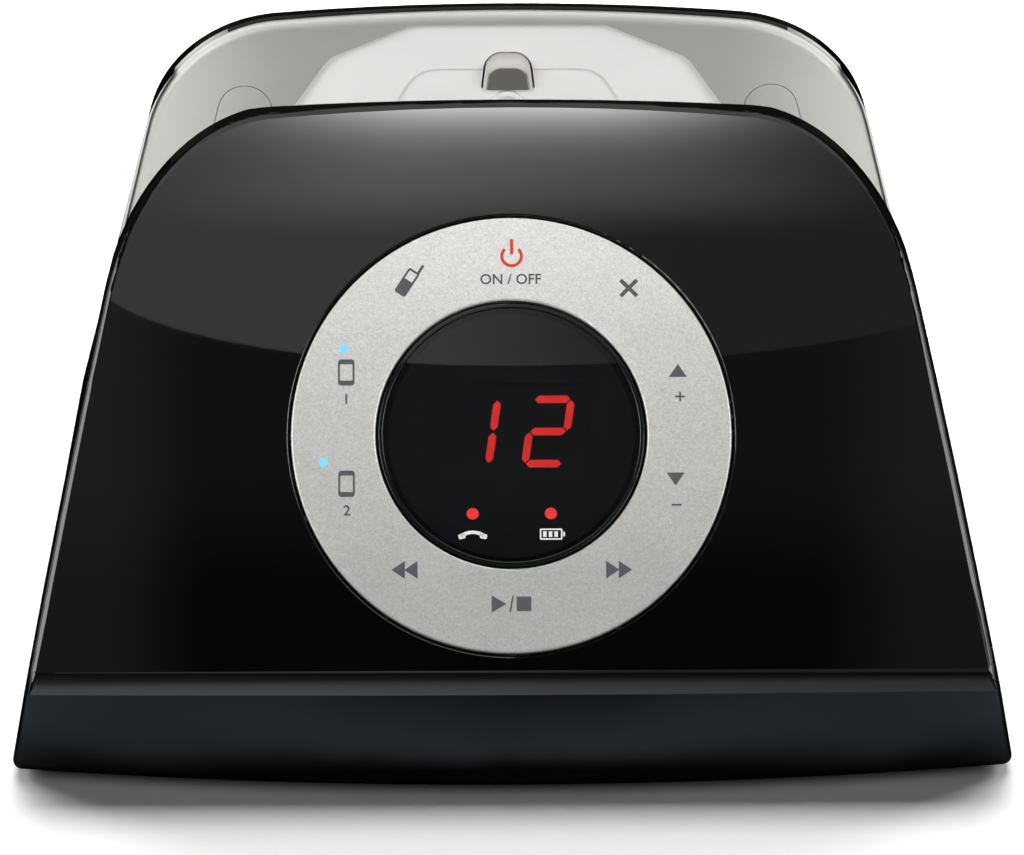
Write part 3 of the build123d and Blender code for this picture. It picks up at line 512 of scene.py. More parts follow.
class PaintedSideLight(Effect):
    """Mask of painted light that grows from the middle of the object to its sides."""

    title = "painted_side_light"
    inputs = {"Vector": None, "Inner": 0.034, "Outer": 0.064}
    outputs = {"Mask": "Float"}

    @classmethod
    def wire(cls, tree: Tree, source: Any, sink: Any) -> None:
        """Distance from the middle plane, with a little noise in it.

        Args:
            tree: The group's tree.
            source: Sockets of the group's inputs, by name.
            sink: Sockets of the group's outputs, by name.
        """
        away = tree.maths("ABSOLUTE", tree.axis(source["Vector"], "X"))
        loose = tree.maths("MULTIPLY_ADD", tree.noise(source["Vector"], 60.0), 0.002, away)
        tree.feed(sink["Mask"], tree.ramp(loose, source["Inner"], source["Outer"]))


class Tracks(Effect):
    """Copper tracks and pads under the resist of a circuit board."""

    title = "board_tracks"
    inputs = {"Vector": None, "Pitch": 420.0}
    outputs = {"Track": "Float", "Pad": "Float"}

    @classmethod
    def wire(cls, tree: Tree, source: Any, sink: Any) -> None:
        """Edges of square cells for tracks, and dots for pads.

        Args:
            tree: The group's tree.
            source: Sockets of the group's inputs, by name.
            sink: Sockets of the group's outputs, by name.
        """
        node = tree.add("ShaderNodeTexVoronoi", feature="F1", distance="CHEBYCHEV")
        tree.feed(node.inputs["Vector"], source["Vector"])
        tree.feed(node.inputs["Scale"], source["Pitch"])
        tone = tree.axis(node.outputs["Color"], "X")
        lines = tree.maths("FRACT", tree.product(node.outputs["Distance"], 3.2))
        line, filled = tree.maths("LESS_THAN", lines, 0.34), tree.maths("GREATER_THAN", tone, 0.35)
        tree.feed(sink["Track"], tree.product(line, filled))
        pads = tree.cells(source["Vector"], tree.product(source["Pitch"], 0.9))
        tree.feed(sink["Pad"], tree.maths("LESS_THAN", pads, 0.16))


class Recipe(Tree):
    """One material under construction: a Principled shader with its coordinates ready."""

    def __init__(self, name: str) -> None:
        """Start a material.

        Args:
            name: Name of the material.
        """
        self.material = bpy.data.materials.new(name)
        self.material.use_nodes = True
        super().__init__(self.material.node_tree)
        self.tree.nodes.clear()
        self.shader = self.add("ShaderNodeBsdfPrincipled")
        output = self.add("ShaderNodeOutputMaterial")
        self.feed(output.inputs["Surface"], self.shader.outputs[0])
        self.coords = self.add("ShaderNodeTexCoord").outputs["Object"]

    def set(self, **values: Any) -> None:
        """Set or feed the shader's sockets; underscores stand for spaces.

        Args:
            values: Values by socket name.
        """
        for name, value in values.items():
            wide = rgba(value) if isinstance(value, tuple) and len(value) == 3 and name != "Normal" else value
            self.feed(self.shader.inputs[name.replace("_", " ")], wide)

    def fed(self, name: str = "Base Color") -> Socket:
        """Socket that feeds an input of the shader now."""
        return self.shader.inputs[name].links[0].from_socket

    def overlay(self, mask: Socket, colour: Colour) -> None:
        """Lay a colour over the present one, by a mask."""
        self.set(Base_Color=self.mix(mask, self.fed(), colour))

    def effect(self, kind: type[Effect], **values: Any) -> Any:
        """Place an effect.

        Args:
            kind: The effect.
            values: Its inputs by name.

        Returns:
            The group's outputs.
        """
        node = self.add("ShaderNodeGroup", node_tree=kind.group())
        self.feed(node.inputs["Vector"], self.coords)
        for name, value in values.items():
            self.feed(node.inputs[name], rgba(value) if isinstance(value, tuple) else value)
        return node.outputs

    def bump(self, height: Any, distance: float, strength: float = 1.0) -> None:
        """Feed a bump into the shader's normal.

        Args:
            height: Height from 0 to 1.
            distance: Depth in metres.
            strength: Share of the effect.
        """
        node = self.add("ShaderNodeBump")
        node.inputs["Strength"].default_value = strength
        node.inputs["Distance"].default_value = distance
        self.feed(node.inputs["Height"], height)
        self.feed(self.shader.inputs["Normal"], node.outputs[0])


@dataclass(frozen=True)
class Finish:
    """A finish that can be put on pieces."""

    name: str
    made: ClassVar[dict[str, bpy.types.Material]] = {}

    def compose(self, recipe: Recipe) -> None:
        """Fill the material's nodes.

        Args:
            recipe: The material under construction.
        """
        raise NotImplementedError

    def material(self) -> bpy.types.Material:
        """The finish's material, made at its first use.

        Returns:
            The material.
        """
        if self.name not in Finish.made:
            recipe = Recipe(self.name)
            self.compose(recipe)
            Finish.made[self.name] = recipe.material
        return Finish.made[self.name]

    def dress(self, *pieces: Piece) -> None:
        """Put the finish on pieces.

        Args:
            pieces: Mesh objects.
        """
        for piece in pieces:
            piece.data.materials.clear()
            piece.data.materials.append(self.material())


@dataclass(frozen=True)
class Moulded(Finish):
    """Moulded plastic or rubber, from polished to coarse."""

    colour: Colour = (0.5, 0.5, 0.5)
    shade: Colour = (0.4, 0.4, 0.4)
    roughness: float = 0.4
    spread: float = 0.08
    grain_size: float = 2500.0
    grain_depth: float = 0.00001
    drift_size: float = 30.0
    drift: float = 0.6
    smear: float = 0.4
    hairline: float = 0.3
    dust: float = 0.1
    scuff: float = 0.0
    hairline_matt: float = 0.12
    dust_matt: float = 0.5
    scuff_matt: float = 0.35

    def compose(self, recipe: Recipe) -> None:
        """Drifting colour, dust, smears, scuffs and mould grain.

        Args:
            recipe: The material under construction.
        """
        spread = {"Size": self.drift_size, "Reach": self.drift}
        tone = recipe.effect(ToneDrift, Base=self.colour, Shade=self.shade, **spread)
        grain = recipe.effect(Grain, Size=self.grain_size)
        hand = recipe.effect(Handling, Smear=self.smear, Hairline=self.hairline)
        dust = recipe.effect(Dust, Amount=self.dust)
        scuff = recipe.effect(TableScuff, Amount=self.scuff)
        colour = recipe.mix(dust["Mask"], tone["Color"], DUST_COLOUR)
        colour = recipe.mix(scuff["Mask"], colour, RUBBED_COLOUR)
        rough = recipe.maths("MULTIPLY_ADD", hand["Smear"], self.spread, self.roughness)
        rough = recipe.maths("MULTIPLY_ADD", hand["Hairline"], self.hairline_matt, rough)
        rough = recipe.maths("MULTIPLY_ADD", dust["Mask"], self.dust_matt, rough)
        rough = recipe.maths("MULTIPLY_ADD", scuff["Mask"], self.scuff_matt, rough, clamp=True)
        recipe.set(Base_Color=colour, Roughness=rough)
        recipe.bump(grain["Height"], self.grain_depth)


@dataclass(frozen=True)
class EdgePainted(Moulded):
    """Polished moulding whose forward edge carries the liner's silver."""

    edge: Colour = (0.70, 0.69, 0.665)
    edge_matt: float = 0.4

    def compose(self, recipe: Recipe) -> None:
        """Plain moulding, then the silver edge over its colour and gloss.

        Args:
            recipe: The material under construction.
        """
        super().compose(recipe)
        mask = recipe.effect(FrontEdge)["Mask"]
        recipe.overlay(mask, self.edge)
        rough = recipe.maths("MULTIPLY_ADD", mask, self.edge_matt, recipe.fed("Roughness"), clamp=True)
        recipe.set(Roughness=rough)


@dataclass(frozen=True)
class LipShaded(Moulded):
    """Moulded plastic with a warm, darker painted shade on faces that look up, standing in for the shading
    along the pocket's lip.
    """

    lip_shade: Colour = (0.66, 0.59, 0.52)

    def compose(self, recipe: Recipe) -> None:
        """Plain moulding, then the painted lip shade on faces that look up."""
        super().compose(recipe)
        recipe.overlay(recipe.effect(Undercut, Level=-0.98, Soft=-0.12)["Mask"], self.lip_shade)


@dataclass(frozen=True)
class ShadedUnderside(Moulded):
    """Moulded plastic with painted shade: its leaning underside, which looks down, is darker."""

    # under: colour of the painted shade on faces that look down
    under: Colour = (0.14, 0.145, 0.13)

    def compose(self, recipe: Recipe) -> None:
        """Plain moulding, then painted shade over its colour where the undercut mask is set."""
        super().compose(recipe)
        recipe.overlay(recipe.effect(Undercut, Level=0.12, Soft=0.12)["Mask"], self.under)


@dataclass(frozen=True)
class Lacquered(Finish):
    """Silver lacquer with fine flake over a moulding."""

    colour: Colour = (0.6, 0.6, 0.58)
    shade: Colour = (0.5, 0.5, 0.48)
    roughness: float = 0.36
    metallic: float = 0.5
    flake: float = 0.12
    flake_size: float = 5200.0
    flake_depth: float = 0.000004

    def compose(self, recipe: Recipe) -> None:
        """Flake breaks up the tone, the metal share and the gloss.

        Args:
            recipe: The material under construction.
        """
        flake = recipe.effect(Flake, Size=self.flake_size)
        tone = recipe.effect(ToneDrift, Base=self.colour, Shade=self.shade, Size=22.0, Reach=0.5)
        hand = recipe.effect(Handling, Smear=0.6, Hairline=0.3)
        light = recipe.maths("MULTIPLY_ADD", flake["Glint"], self.flake, 0.5)
        colour = recipe.mix(light, BLACK, tone["Color"])
        colour = recipe.mix(1.0, colour, DOUBLE, "MULTIPLY")
        rough = recipe.maths("MULTIPLY_ADD", flake["Glint"], 0.10, self.roughness)
        rough = recipe.maths("MULTIPLY_ADD", hand["Smear"], 0.05, rough)
        metal = recipe.maths("MULTIPLY_ADD", flake["Glint"], 0.25, self.metallic, clamp=True)
        recipe.set(Base_Color=colour, Roughness=rough, Metallic=metal)
        recipe.bump(flake["Height"], self.flake_depth)


@dataclass(frozen=True)
class SideLitLacquer(Lacquered):
    """Silver lacquer with painted light that makes it paler towards the sides."""

    # pale: colour of the painted light at the sides
    pale: Colour = (0.72, 0.715, 0.69)

    def compose(self, recipe: Recipe) -> None:
        """Lacquer, then the painted side light over its colour."""
        super().compose(recipe)
        recipe.overlay(recipe.effect(PaintedSideLight)["Mask"], self.pale)


@dataclass(frozen=True)
class TopLitLacquer(Lacquered):
    """Silver lacquer with painted light: its tone climbs from darker at a lower level to lighter at an upper
    level.
    """

    # lower, upper: scale of the colour at the lower and the upper level of the painted light
    lower: float = 0.78
    upper: float = 1.04

    def compose(self, recipe: Recipe) -> None:
        """Lacquer, then its colour scaled by height as painted light.

        Args:
            recipe: The material under construction.
        """
        super().compose(recipe)
        mask = recipe.effect(Climb)["Mask"]
        scale = recipe.maths("MULTIPLY_ADD", mask, self.upper - self.lower, self.lower)
        recipe.set(Base_Color=recipe.mix(1.0, recipe.fed(), scale, "MULTIPLY"))


@dataclass(frozen=True)
class Metal(Finish):
    """Plated or bare metal with drawn lines and tarnish."""

    colour: Colour = (0.6, 0.6, 0.6)
    shade: Colour = (0.4, 0.4, 0.4)
    roughness: float = 0.3
    lines: float = 0.1

    def compose(self, recipe: Recipe) -> None:
        """Tarnish drifts over the plate, and lines stretch the gloss.

        Args:
            recipe: The material under construction.
        """
        tone = recipe.effect(ToneDrift, Base=self.colour, Shade=self.shade, Size=260.0, Reach=0.7)
        hand = recipe.effect(Handling, Smear=0.8, Hairline=1.0)
        grain = recipe.effect(Grain, Size=5000.0)
        rough = recipe.maths("MULTIPLY_ADD", hand["Hairline"], self.lines, self.roughness)
        rough = recipe.maths("MULTIPLY_ADD", tone["Mask"], 0.15, rough, clamp=True)
        recipe.set(Base_Color=tone["Color"], Roughness=rough, Metallic=1.0)
        recipe.bump(grain["Height"], 0.000004)


@dataclass(frozen=True)
class Glowing(Finish):
    """Lit plastic over a lamp, with a faint ripple in its glow."""

    colour: Colour = (0.8, 0.05, 0.04)
    glow: Colour = (1.0, 0.08, 0.05)
    strength: float = 1.0
    ripple: float = 0.1
    roughness: float = 0.35

    def compose(self, recipe: Recipe) -> None:
        """Emission with a faint ripple from the lamp behind.

        Args:
            recipe: The material under construction.
        """
        noise = recipe.noise(recipe.coords, 900.0, 1.0)
        dim = tuple(share * (1.0 - self.ripple) for share in self.glow)
        colour = recipe.mix(recipe.ramp(noise, 0.35, 0.65), dim, self.glow)
        recipe.set(Base_Color=self.colour, Roughness=self.roughness)
        recipe.set(Emission_Color=colour, Emission_Strength=self.strength)


@dataclass(frozen=True)
class Smoked(Finish):
    """Clear plastic with a smoke tint."""

    tint: Colour = (0.5, 0.52, 0.55)
    roughness: float = 0.004

    def compose(self, recipe: Recipe) -> None:
        """Clear body with faint smears on its gloss.

        Args:
            recipe: The material under construction.
        """
        hand = recipe.effect(Handling, Smear=0.4, Hairline=0.2)
        rough = recipe.maths("MULTIPLY_ADD", hand["Hairline"], 0.02, self.roughness)
        recipe.set(Base_Color=self.tint, Roughness=rough, Transmission_Weight=1.0, IOR=1.49)


@dataclass(frozen=True)
class Printed(Finish):
    """Pad-printed ink."""

    colour: Colour = (0.08, 0.085, 0.095)
    roughness: float = 0.5
    thin: float = 0.12

    def compose(self, recipe: Recipe) -> None:
        """Ink a little thin in places.

        Args:
            recipe: The material under construction.
        """
        noise = recipe.noise(recipe.coords, 5200.0, 3.0)
        pale = tuple(min(1.0, share * (1.0 + 3.0 * self.thin) + 0.16 * self.thin) for share in self.colour)
        mask = recipe.ramp(noise, 0.45, 0.75)
        rough = recipe.maths("MULTIPLY_ADD", mask, 0.15, self.roughness)
        recipe.set(Base_Color=recipe.mix(mask, self.colour, pale), Roughness=rough)
        recipe.bump(noise, 0.000003)


@dataclass(frozen=True)
class Circuit(Finish):
    """Glass-fibre board under green resist, with tracks and tinned pads."""

    resist: Colour = (0.02, 0.13, 0.05)
    copper: Colour = (0.05, 0.24, 0.08)
    tin: Colour = (0.62, 0.62, 0.58)

    def compose(self, recipe: Recipe) -> None:
        """Tracks show lighter through the resist, and pads are bare tin.

        Args:
            recipe: The material under construction.
        """
        tracks = recipe.effect(Tracks)
        grain = recipe.effect(Grain, Size=3000.0)
        colour = recipe.mix(tracks["Track"], self.resist, self.copper)
        colour = recipe.mix(tracks["Pad"], colour, self.tin)
        rough = recipe.maths("MULTIPLY_ADD", grain["Speckle"], 0.1, 0.32)
        recipe.set(Base_Color=colour, Roughness=rough, Metallic=tracks["Pad"])
        recipe.bump(recipe.maths("ADD", tracks["Track"], tracks["Pad"]), 0.00003)


@dataclass(frozen=True)
class Sleeved(Finish):
    """Capacitor cans: a dark sleeve with a pale stripe, and a bare top."""

    top: float = 0.018
    sleeve: Colour = (0.02, 0.022, 0.05)
    stripe: Colour = (0.5, 0.52, 0.55)
    metal: Colour = (0.72, 0.72, 0.74)

    def compose(self, recipe: Recipe) -> None:
        """Height parts the sleeve from the top.

        Args:
            recipe: The material under construction.
        """
        height = recipe.axis(recipe.coords, "Z")
        bare = recipe.maths("GREATER_THAN", height, self.top)
        around = recipe.noise(recipe.stretched(recipe.coords, (1.0, 1.0, 0.0)), 240.0, 0.0)
        colour = recipe.mix(recipe.maths("GREATER_THAN", around, 0.58), self.sleeve, self.stripe)
        grain = recipe.effect(Grain, Size=4200.0)
        recipe.set(Base_Color=recipe.mix(bare, colour, self.metal), Metallic=bare)
        recipe.set(Roughness=recipe.maths("MULTIPLY_ADD", grain["Speckle"], 0.12, 0.28))
        recipe.bump(grain["Height"], 0.000005)


POLISHED_BLACK: dict[str, Any] = {
    "colour": (0.0014, 0.0015, 0.0017), "shade": (0.0022, 0.0023, 0.0025), "roughness": 0.012,
    "spread": 0.008, "grain_size": 420.0, "grain_depth": 0.0000002, "drift_size": 18.0, "smear": 0.35,
    "hairline": 0.02, "dust": 0.001,
}


class Coat(Enum):
    """The finishes of this object."""

    SHELL = Moulded("polished_black_shell", **POLISHED_BLACK)
    REAR = EdgePainted("polished_black_rear", **POLISHED_BLACK)
    BEZEL = Moulded(
        "polished_black_bezel", colour=(0.004, 0.005, 0.006), shade=(0.006, 0.007, 0.008), roughness=0.02,
        spread=0.01, hairline=0.05, grain_size=900.0, grain_depth=0.0000003, dust=0.002,
    )
    BASE = Moulded(
        "eroded_black_base", colour=(0.020, 0.020, 0.021), shade=(0.030, 0.030, 0.031), roughness=0.55,
        grain_size=1700.0, grain_depth=0.00004, dust=0.0, scuff=0.4, smear=0.2,
    )
    # The liner's paler sides are painted light.
    LINER = SideLitLacquer(
        "satin_silver_liner", colour=(0.41, 0.405, 0.385), shade=(0.385, 0.38, 0.36), roughness=0.5,
        metallic=0.3, flake=0.02, flake_depth=0.000001,
    )
    # The pocket's upward lips carry a warm painted shade.
    POCKET = LipShaded(
        "light_grey_pocket", colour=(0.83, 0.83, 0.825), shade=(0.79, 0.79, 0.785), roughness=0.5,
        grain_size=3000.0, grain_depth=0.00001, drift_size=24.0, drift=0.4, smear=0.3, dust=0.06,
    )
    # The tab's faces that look down carry painted shade.
    TAB = ShadedUnderside(
        "grey_tab", colour=(0.66, 0.64, 0.59), shade=(0.60, 0.58, 0.53), roughness=0.45,
        grain_size=3200.0, grain_depth=0.000006,
    )
    # The key ring is lighter at the top by painted light.
    RING = TopLitLacquer(
        "silver_key_ring", colour=(0.635, 0.63, 0.61), shade=(0.595, 0.59, 0.57), flake_size=8500.0,
        flake=0.16,
    )
    RUBBER_PAD = Moulded(
        "grey_key_rubber", colour=(0.30, 0.30, 0.30), shade=(0.24, 0.24, 0.24), roughness=0.7,
        grain_size=2600.0, grain_depth=0.00002,
    )
    RUBBER_FOOT = Moulded(
        "black_foot_rubber", colour=(0.028, 0.028, 0.028), shade=(0.05, 0.05, 0.048), roughness=0.8,
        grain_size=1500.0, grain_depth=0.00004, scuff=0.6, dust=0.0,
    )
    INNER = Moulded(
        "black_inner_moulding", colour=(0.022, 0.022, 0.024), shade=(0.035, 0.035, 0.037), roughness=0.45,
        grain_size=2200.0, grain_depth=0.00002,
    )
    FACE = Moulded(
        "display_face", colour=(0.005, 0.006, 0.007), shade=(0.007, 0.008, 0.009), roughness=0.45,
        grain_size=4200.0, grain_depth=0.000006, dust=0.0,
    )
    UNLIT = Moulded(
        "unlit_segment", colour=(0.006, 0.006, 0.007), shade=(0.008, 0.008, 0.009), roughness=0.42,
        grain_size=4200.0, grain_depth=0.000003, dust=0.0,
    )
    CHIP = Moulded(
        "chip_body", colour=(0.018, 0.018, 0.018), shade=(0.03, 0.03, 0.03), roughness=0.6, grain_size=5200.0,
        grain_depth=0.00001,
    )
    CONE = Moulded(
        "pressed_cone_paper", colour=(0.045, 0.043, 0.04), shade=(0.075, 0.07, 0.065), roughness=0.9,
        grain_size=1300.0, grain_depth=0.00008, drift_size=300.0,
    )
    MAGNET = Moulded(
        "ferrite_magnet", colour=(0.07, 0.07, 0.075), shade=(0.11, 0.11, 0.115), roughness=0.6,
        grain_size=2100.0, grain_depth=0.00003,
    )
    CABLE = Moulded("white_flat_cable", colour=(0.62, 0.62, 0.60), shade=(0.52, 0.52, 0.5), roughness=0.4)
    RED_LEAD = Moulded("red_lead", colour=(0.42, 0.03, 0.025), shade=(0.32, 0.02, 0.02), roughness=0.42)
    BLACK_LEAD = Moulded("black_lead", colour=(0.025, 0.025, 0.025), shade=(0.04, 0.04, 0.04), roughness=0.42)
    BOARD = Circuit("green_circuit_board")
    CAN = Sleeved("sleeved_capacitor")
    NICKEL = Metal("nickel_plate", colour=(0.66, 0.63, 0.58), shade=(0.50, 0.47, 0.42), roughness=0.16)
    ZINC = Metal("zinc_plate", colour=(0.52, 0.53, 0.55), shade=(0.38, 0.38, 0.38), roughness=0.32)
    TIN = Metal("tinned_shield", colour=(0.62, 0.62, 0.60), shade=(0.48, 0.48, 0.46), roughness=0.26)
    GILT = Metal("gilt_spring_wire", colour=(0.83, 0.62, 0.28), shade=(0.65, 0.45, 0.18), roughness=0.2)
    STAMPED = Metal("stamped_basket", colour=(0.30, 0.30, 0.31), shade=(0.22, 0.22, 0.22), roughness=0.42)
    WINDOW = Smoked("smoked_window")
    LENS = Glowing("lit_guide", colour=(0.05, 0.22, 0.40), glow=(0.20, 0.66, 0.98), strength=0.8, ripple=0.05)
    BLUE_LAMP = Glowing("blue_lamp", colour=(0.2, 0.5, 0.9), glow=(0.2, 0.6, 1.0), strength=1.5)
    RED_LAMP = Glowing("red_lamp", colour=(0.7, 0.05, 0.03), glow=(1.0, 0.05, 0.04), strength=1.7, ripple=0.1)
    SEGMENT = Glowing(
        "lit_segment", colour=(0.6, 0.03, 0.02), glow=(1.0, 0.035, 0.03), strength=1.2, ripple=0.15,
    )
    INK = Printed("grey_key_ink", colour=(0.058, 0.062, 0.072), thin=0.06)
    RED_INK = Printed("red_key_ink", colour=(0.60, 0.018, 0.012), thin=0.0)
    WHITE_INK = Printed("white_window_ink", colour=(0.72, 0.72, 0.70))
    MASK = Printed("black_window_print", colour=(0.003, 0.0045, 0.0055), roughness=0.6, thin=0.0)

    def dress(self, *names: str) -> None:
        """Put the finish on construction nodes.

        Args:
            names: Names of the nodes.
        """
        for name in names:
            self.value.dress(frame["nodes"][name])
            LOG.info("%s: %s", name, self.value.name)


CoatPlan = dict[Coat, tuple[str, ...]]


class PanelPlace:
    """The key panel's own frame, from the ring's centre: x to the right, y up the slope, z out of it."""

    def __init__(self, pivot_depth: float = 3.5) -> None:
        """Find the frame from the ring's two rocking axes.

        Args:
            pivot_depth: Depth of the axes under the panel, in mm.
        """
        joints = {joint["name"]: joint for joint in frame["joints"]}
        self.across = Vector(joints["ring_rock_up_down"]["axis"])
        self.along = Vector(joints["ring_rock_left_right"]["axis"])
        self.out = self.across.cross(self.along)
        self.centre = Vector(joints["ring_rock_left_right"]["pos_m"]) + self.out * pivot_depth * MM

    def matrix(self) -> Matrix:
        """Transform from the panel's frame to the object's, both in metres."""
        turn = Matrix((self.across, self.along, self.out)).transposed()
        return Matrix.Translation(self.centre) @ turn.to_4x4()


@dataclass
class Outline:
    """A flat shape: a closed outer loop, and perhaps an inner loop with as many points."""

    outer: Loop
    inner: Loop | None = None

    def moved(self, x: float, y: float, turn: float = 0.0) -> "Outline":
        """Turn the shape, then shift it.

        Args:
            x: Shift to the right.
            y: Shift up.
            turn: Turn in degrees, anticlockwise.

        Returns:
            The moved shape.
        """
        cos, sin = math.cos(math.radians(turn)), math.sin(math.radians(turn))

        def place(loop: Loop | None) -> Loop | None:
            """Move one loop."""
            return loop and [(x + a * cos - b * sin, y + a * sin + b * cos) for a, b in loop]

        return Outline(place(self.outer) or [], place(self.inner))


def rounded(width: float, height: float, radius: float, steps: int = 5) -> Loop:
    """Rounded rectangle about the origin.

    Args:
        width: Full width.
        height: Full height.
        radius: Corner radius.
        steps: Segments per corner.

    Returns:
        The loop, anticlockwise.
    """
    loop = []
    for quarter, (sx, sy) in enumerate(((1, 1), (-1, 1), (-1, -1), (1, -1))):
        for step in range(steps + 1):
            angle = math.pi / 2 * (quarter + step / steps)
            x = sx * (width / 2 - radius) + radius * math.cos(angle)
            y = sy * (height / 2 - radius) + radius * math.sin(angle)
            loop.append((x, y))
    return loop


def arc(radius: float, start: float, end: float, steps: int = 40) -> Loop:
    """Points on a circle from one angle to another, in degrees."""
    turns = [math.radians(start + (end - start) * step / steps) for step in range(steps + 1)]
    return [(radius * math.cos(turn), radius * math.sin(turn)) for turn in turns]


def bar(width: float, height: float) -> Loop:
    """Square-cornered bar about the origin."""
    x, y = width / 2, height / 2
    return [(x, y), (-x, y), (-x, -y), (x, -y)]


def flat_plate(name: str, shapes: Iterable[Outline], low: float, high: float) -> Piece:
    """Thin closed plate of flat shapes, lying in the panel's frame.

    Args:
        name: Name of the piece.
        shapes: The shapes, in mm.
        low: Height of the underside over the panel, in mm.
        high: Height of the top.

    Returns:
        The new object.
    """
    mesh = bmesh.new()
    for shape in shapes:
        loops = [shape.outer] + ([shape.inner] if shape.inner else [])
        rows = []
        for loop in loops:
            rows.append([[mesh.verts.new((x * MM, y * MM, z * MM)) for x, y in loop] for z in (low, high)])
        for index, (under, over) in enumerate(rows):
            count = len(under)
            for a in range(count):
                b = (a + 1) % count
                wall = (under[a], under[b], over[b], over[a])
                mesh.faces.new(wall if index == 0 else wall[::-1])
        if shape.inner:
            count = len(shape.outer)
            for a in range(count):
                b = (a + 1) % count
                mesh.faces.new((rows[0][1][a], rows[0][1][b], rows[1][1][b], rows[1][1][a]))
                mesh.faces.new((rows[0][0][b], rows[0][0][a], rows[1][0][a], rows[1][0][b]))
        else:
            mesh.faces.new(rows[0][1])
            mesh.faces.new(rows[0][0][::-1])
    mesh.normal_update()
    bmesh.ops.triangulate(mesh, faces=[face for face in mesh.faces if len(face.verts) > 4])
    bmesh.ops.recalc_face_normals(mesh, faces=mesh.faces)
    return place_mesh(name, mesh)


def add_piece(name: str, mesh: bmesh.types.BMesh) -> Piece:
    """Turn a mesh into an object of the scene.

    Args:
        name: Name of the piece.
        mesh: The mesh; it is freed.

    Returns:
        The new object.
    """
    data = bpy.data.meshes.new(name)
    mesh.to_mesh(data)
    mesh.free()
    piece = bpy.data.objects.new(name, data)
    bpy.context.scene.collection.objects.link(piece)
    return piece


def place_mesh(name: str, mesh: bmesh.types.BMesh) -> Piece:
    """Turn a mesh in the panel's frame into an object of the scene.

    Args:
        name: Name of the piece.
        mesh: The mesh; it is freed.

    Returns:
        The new object.
    """
    mesh.transform(PanelPlace().matrix())
    return add_piece(name, mesh)


def words(text: str, height: float) -> list[Outline]:
    """Outlines of plain characters, centred, from the built-in face.

    Args:
        text: The characters.
        height: Height of a capital, in mm.

    Returns:
        One shape for each triangle of the characters.
    """
    curve = bpy.data.curves.new("characters", "FONT")
    curve.body = text
    curve.align_x = "CENTER"
    curve.size = height / CAPITAL_SHARE
    curve.offset = height * STROKE_GAIN
    curve.resolution_u = 3
    holder = bpy.data.objects.new("characters", curve)
    bpy.context.scene.collection.objects.link(holder)
    bpy.context.view_layer.update()
    data = bpy.data.meshes.new_from_object(holder.evaluated_get(bpy.context.evaluated_depsgraph_get()))
    points = [(vertex.co.x, vertex.co.y - height / 2) for vertex in data.vertices]
    shapes = [Outline([points[index] for index in face.vertices]) for face in data.polygons]
    bpy.data.objects.remove(holder)
    bpy.data.curves.remove(curve)
    bpy.data.meshes.remove(data)
    return shapes


@dataclass
class Assembly:
    """A sub-assembly: construction nodes to dress and, in some, pieces to add."""

    coats: ClassVar[CoatPlan] = {}

    def dress(self) -> None:
        """Finish the construction nodes."""
        for coat, names in self.coats.items():
            coat.dress(*names)

    def build(self) -> None:
        """Add pieces; an assembly of construction nodes alone adds none."""


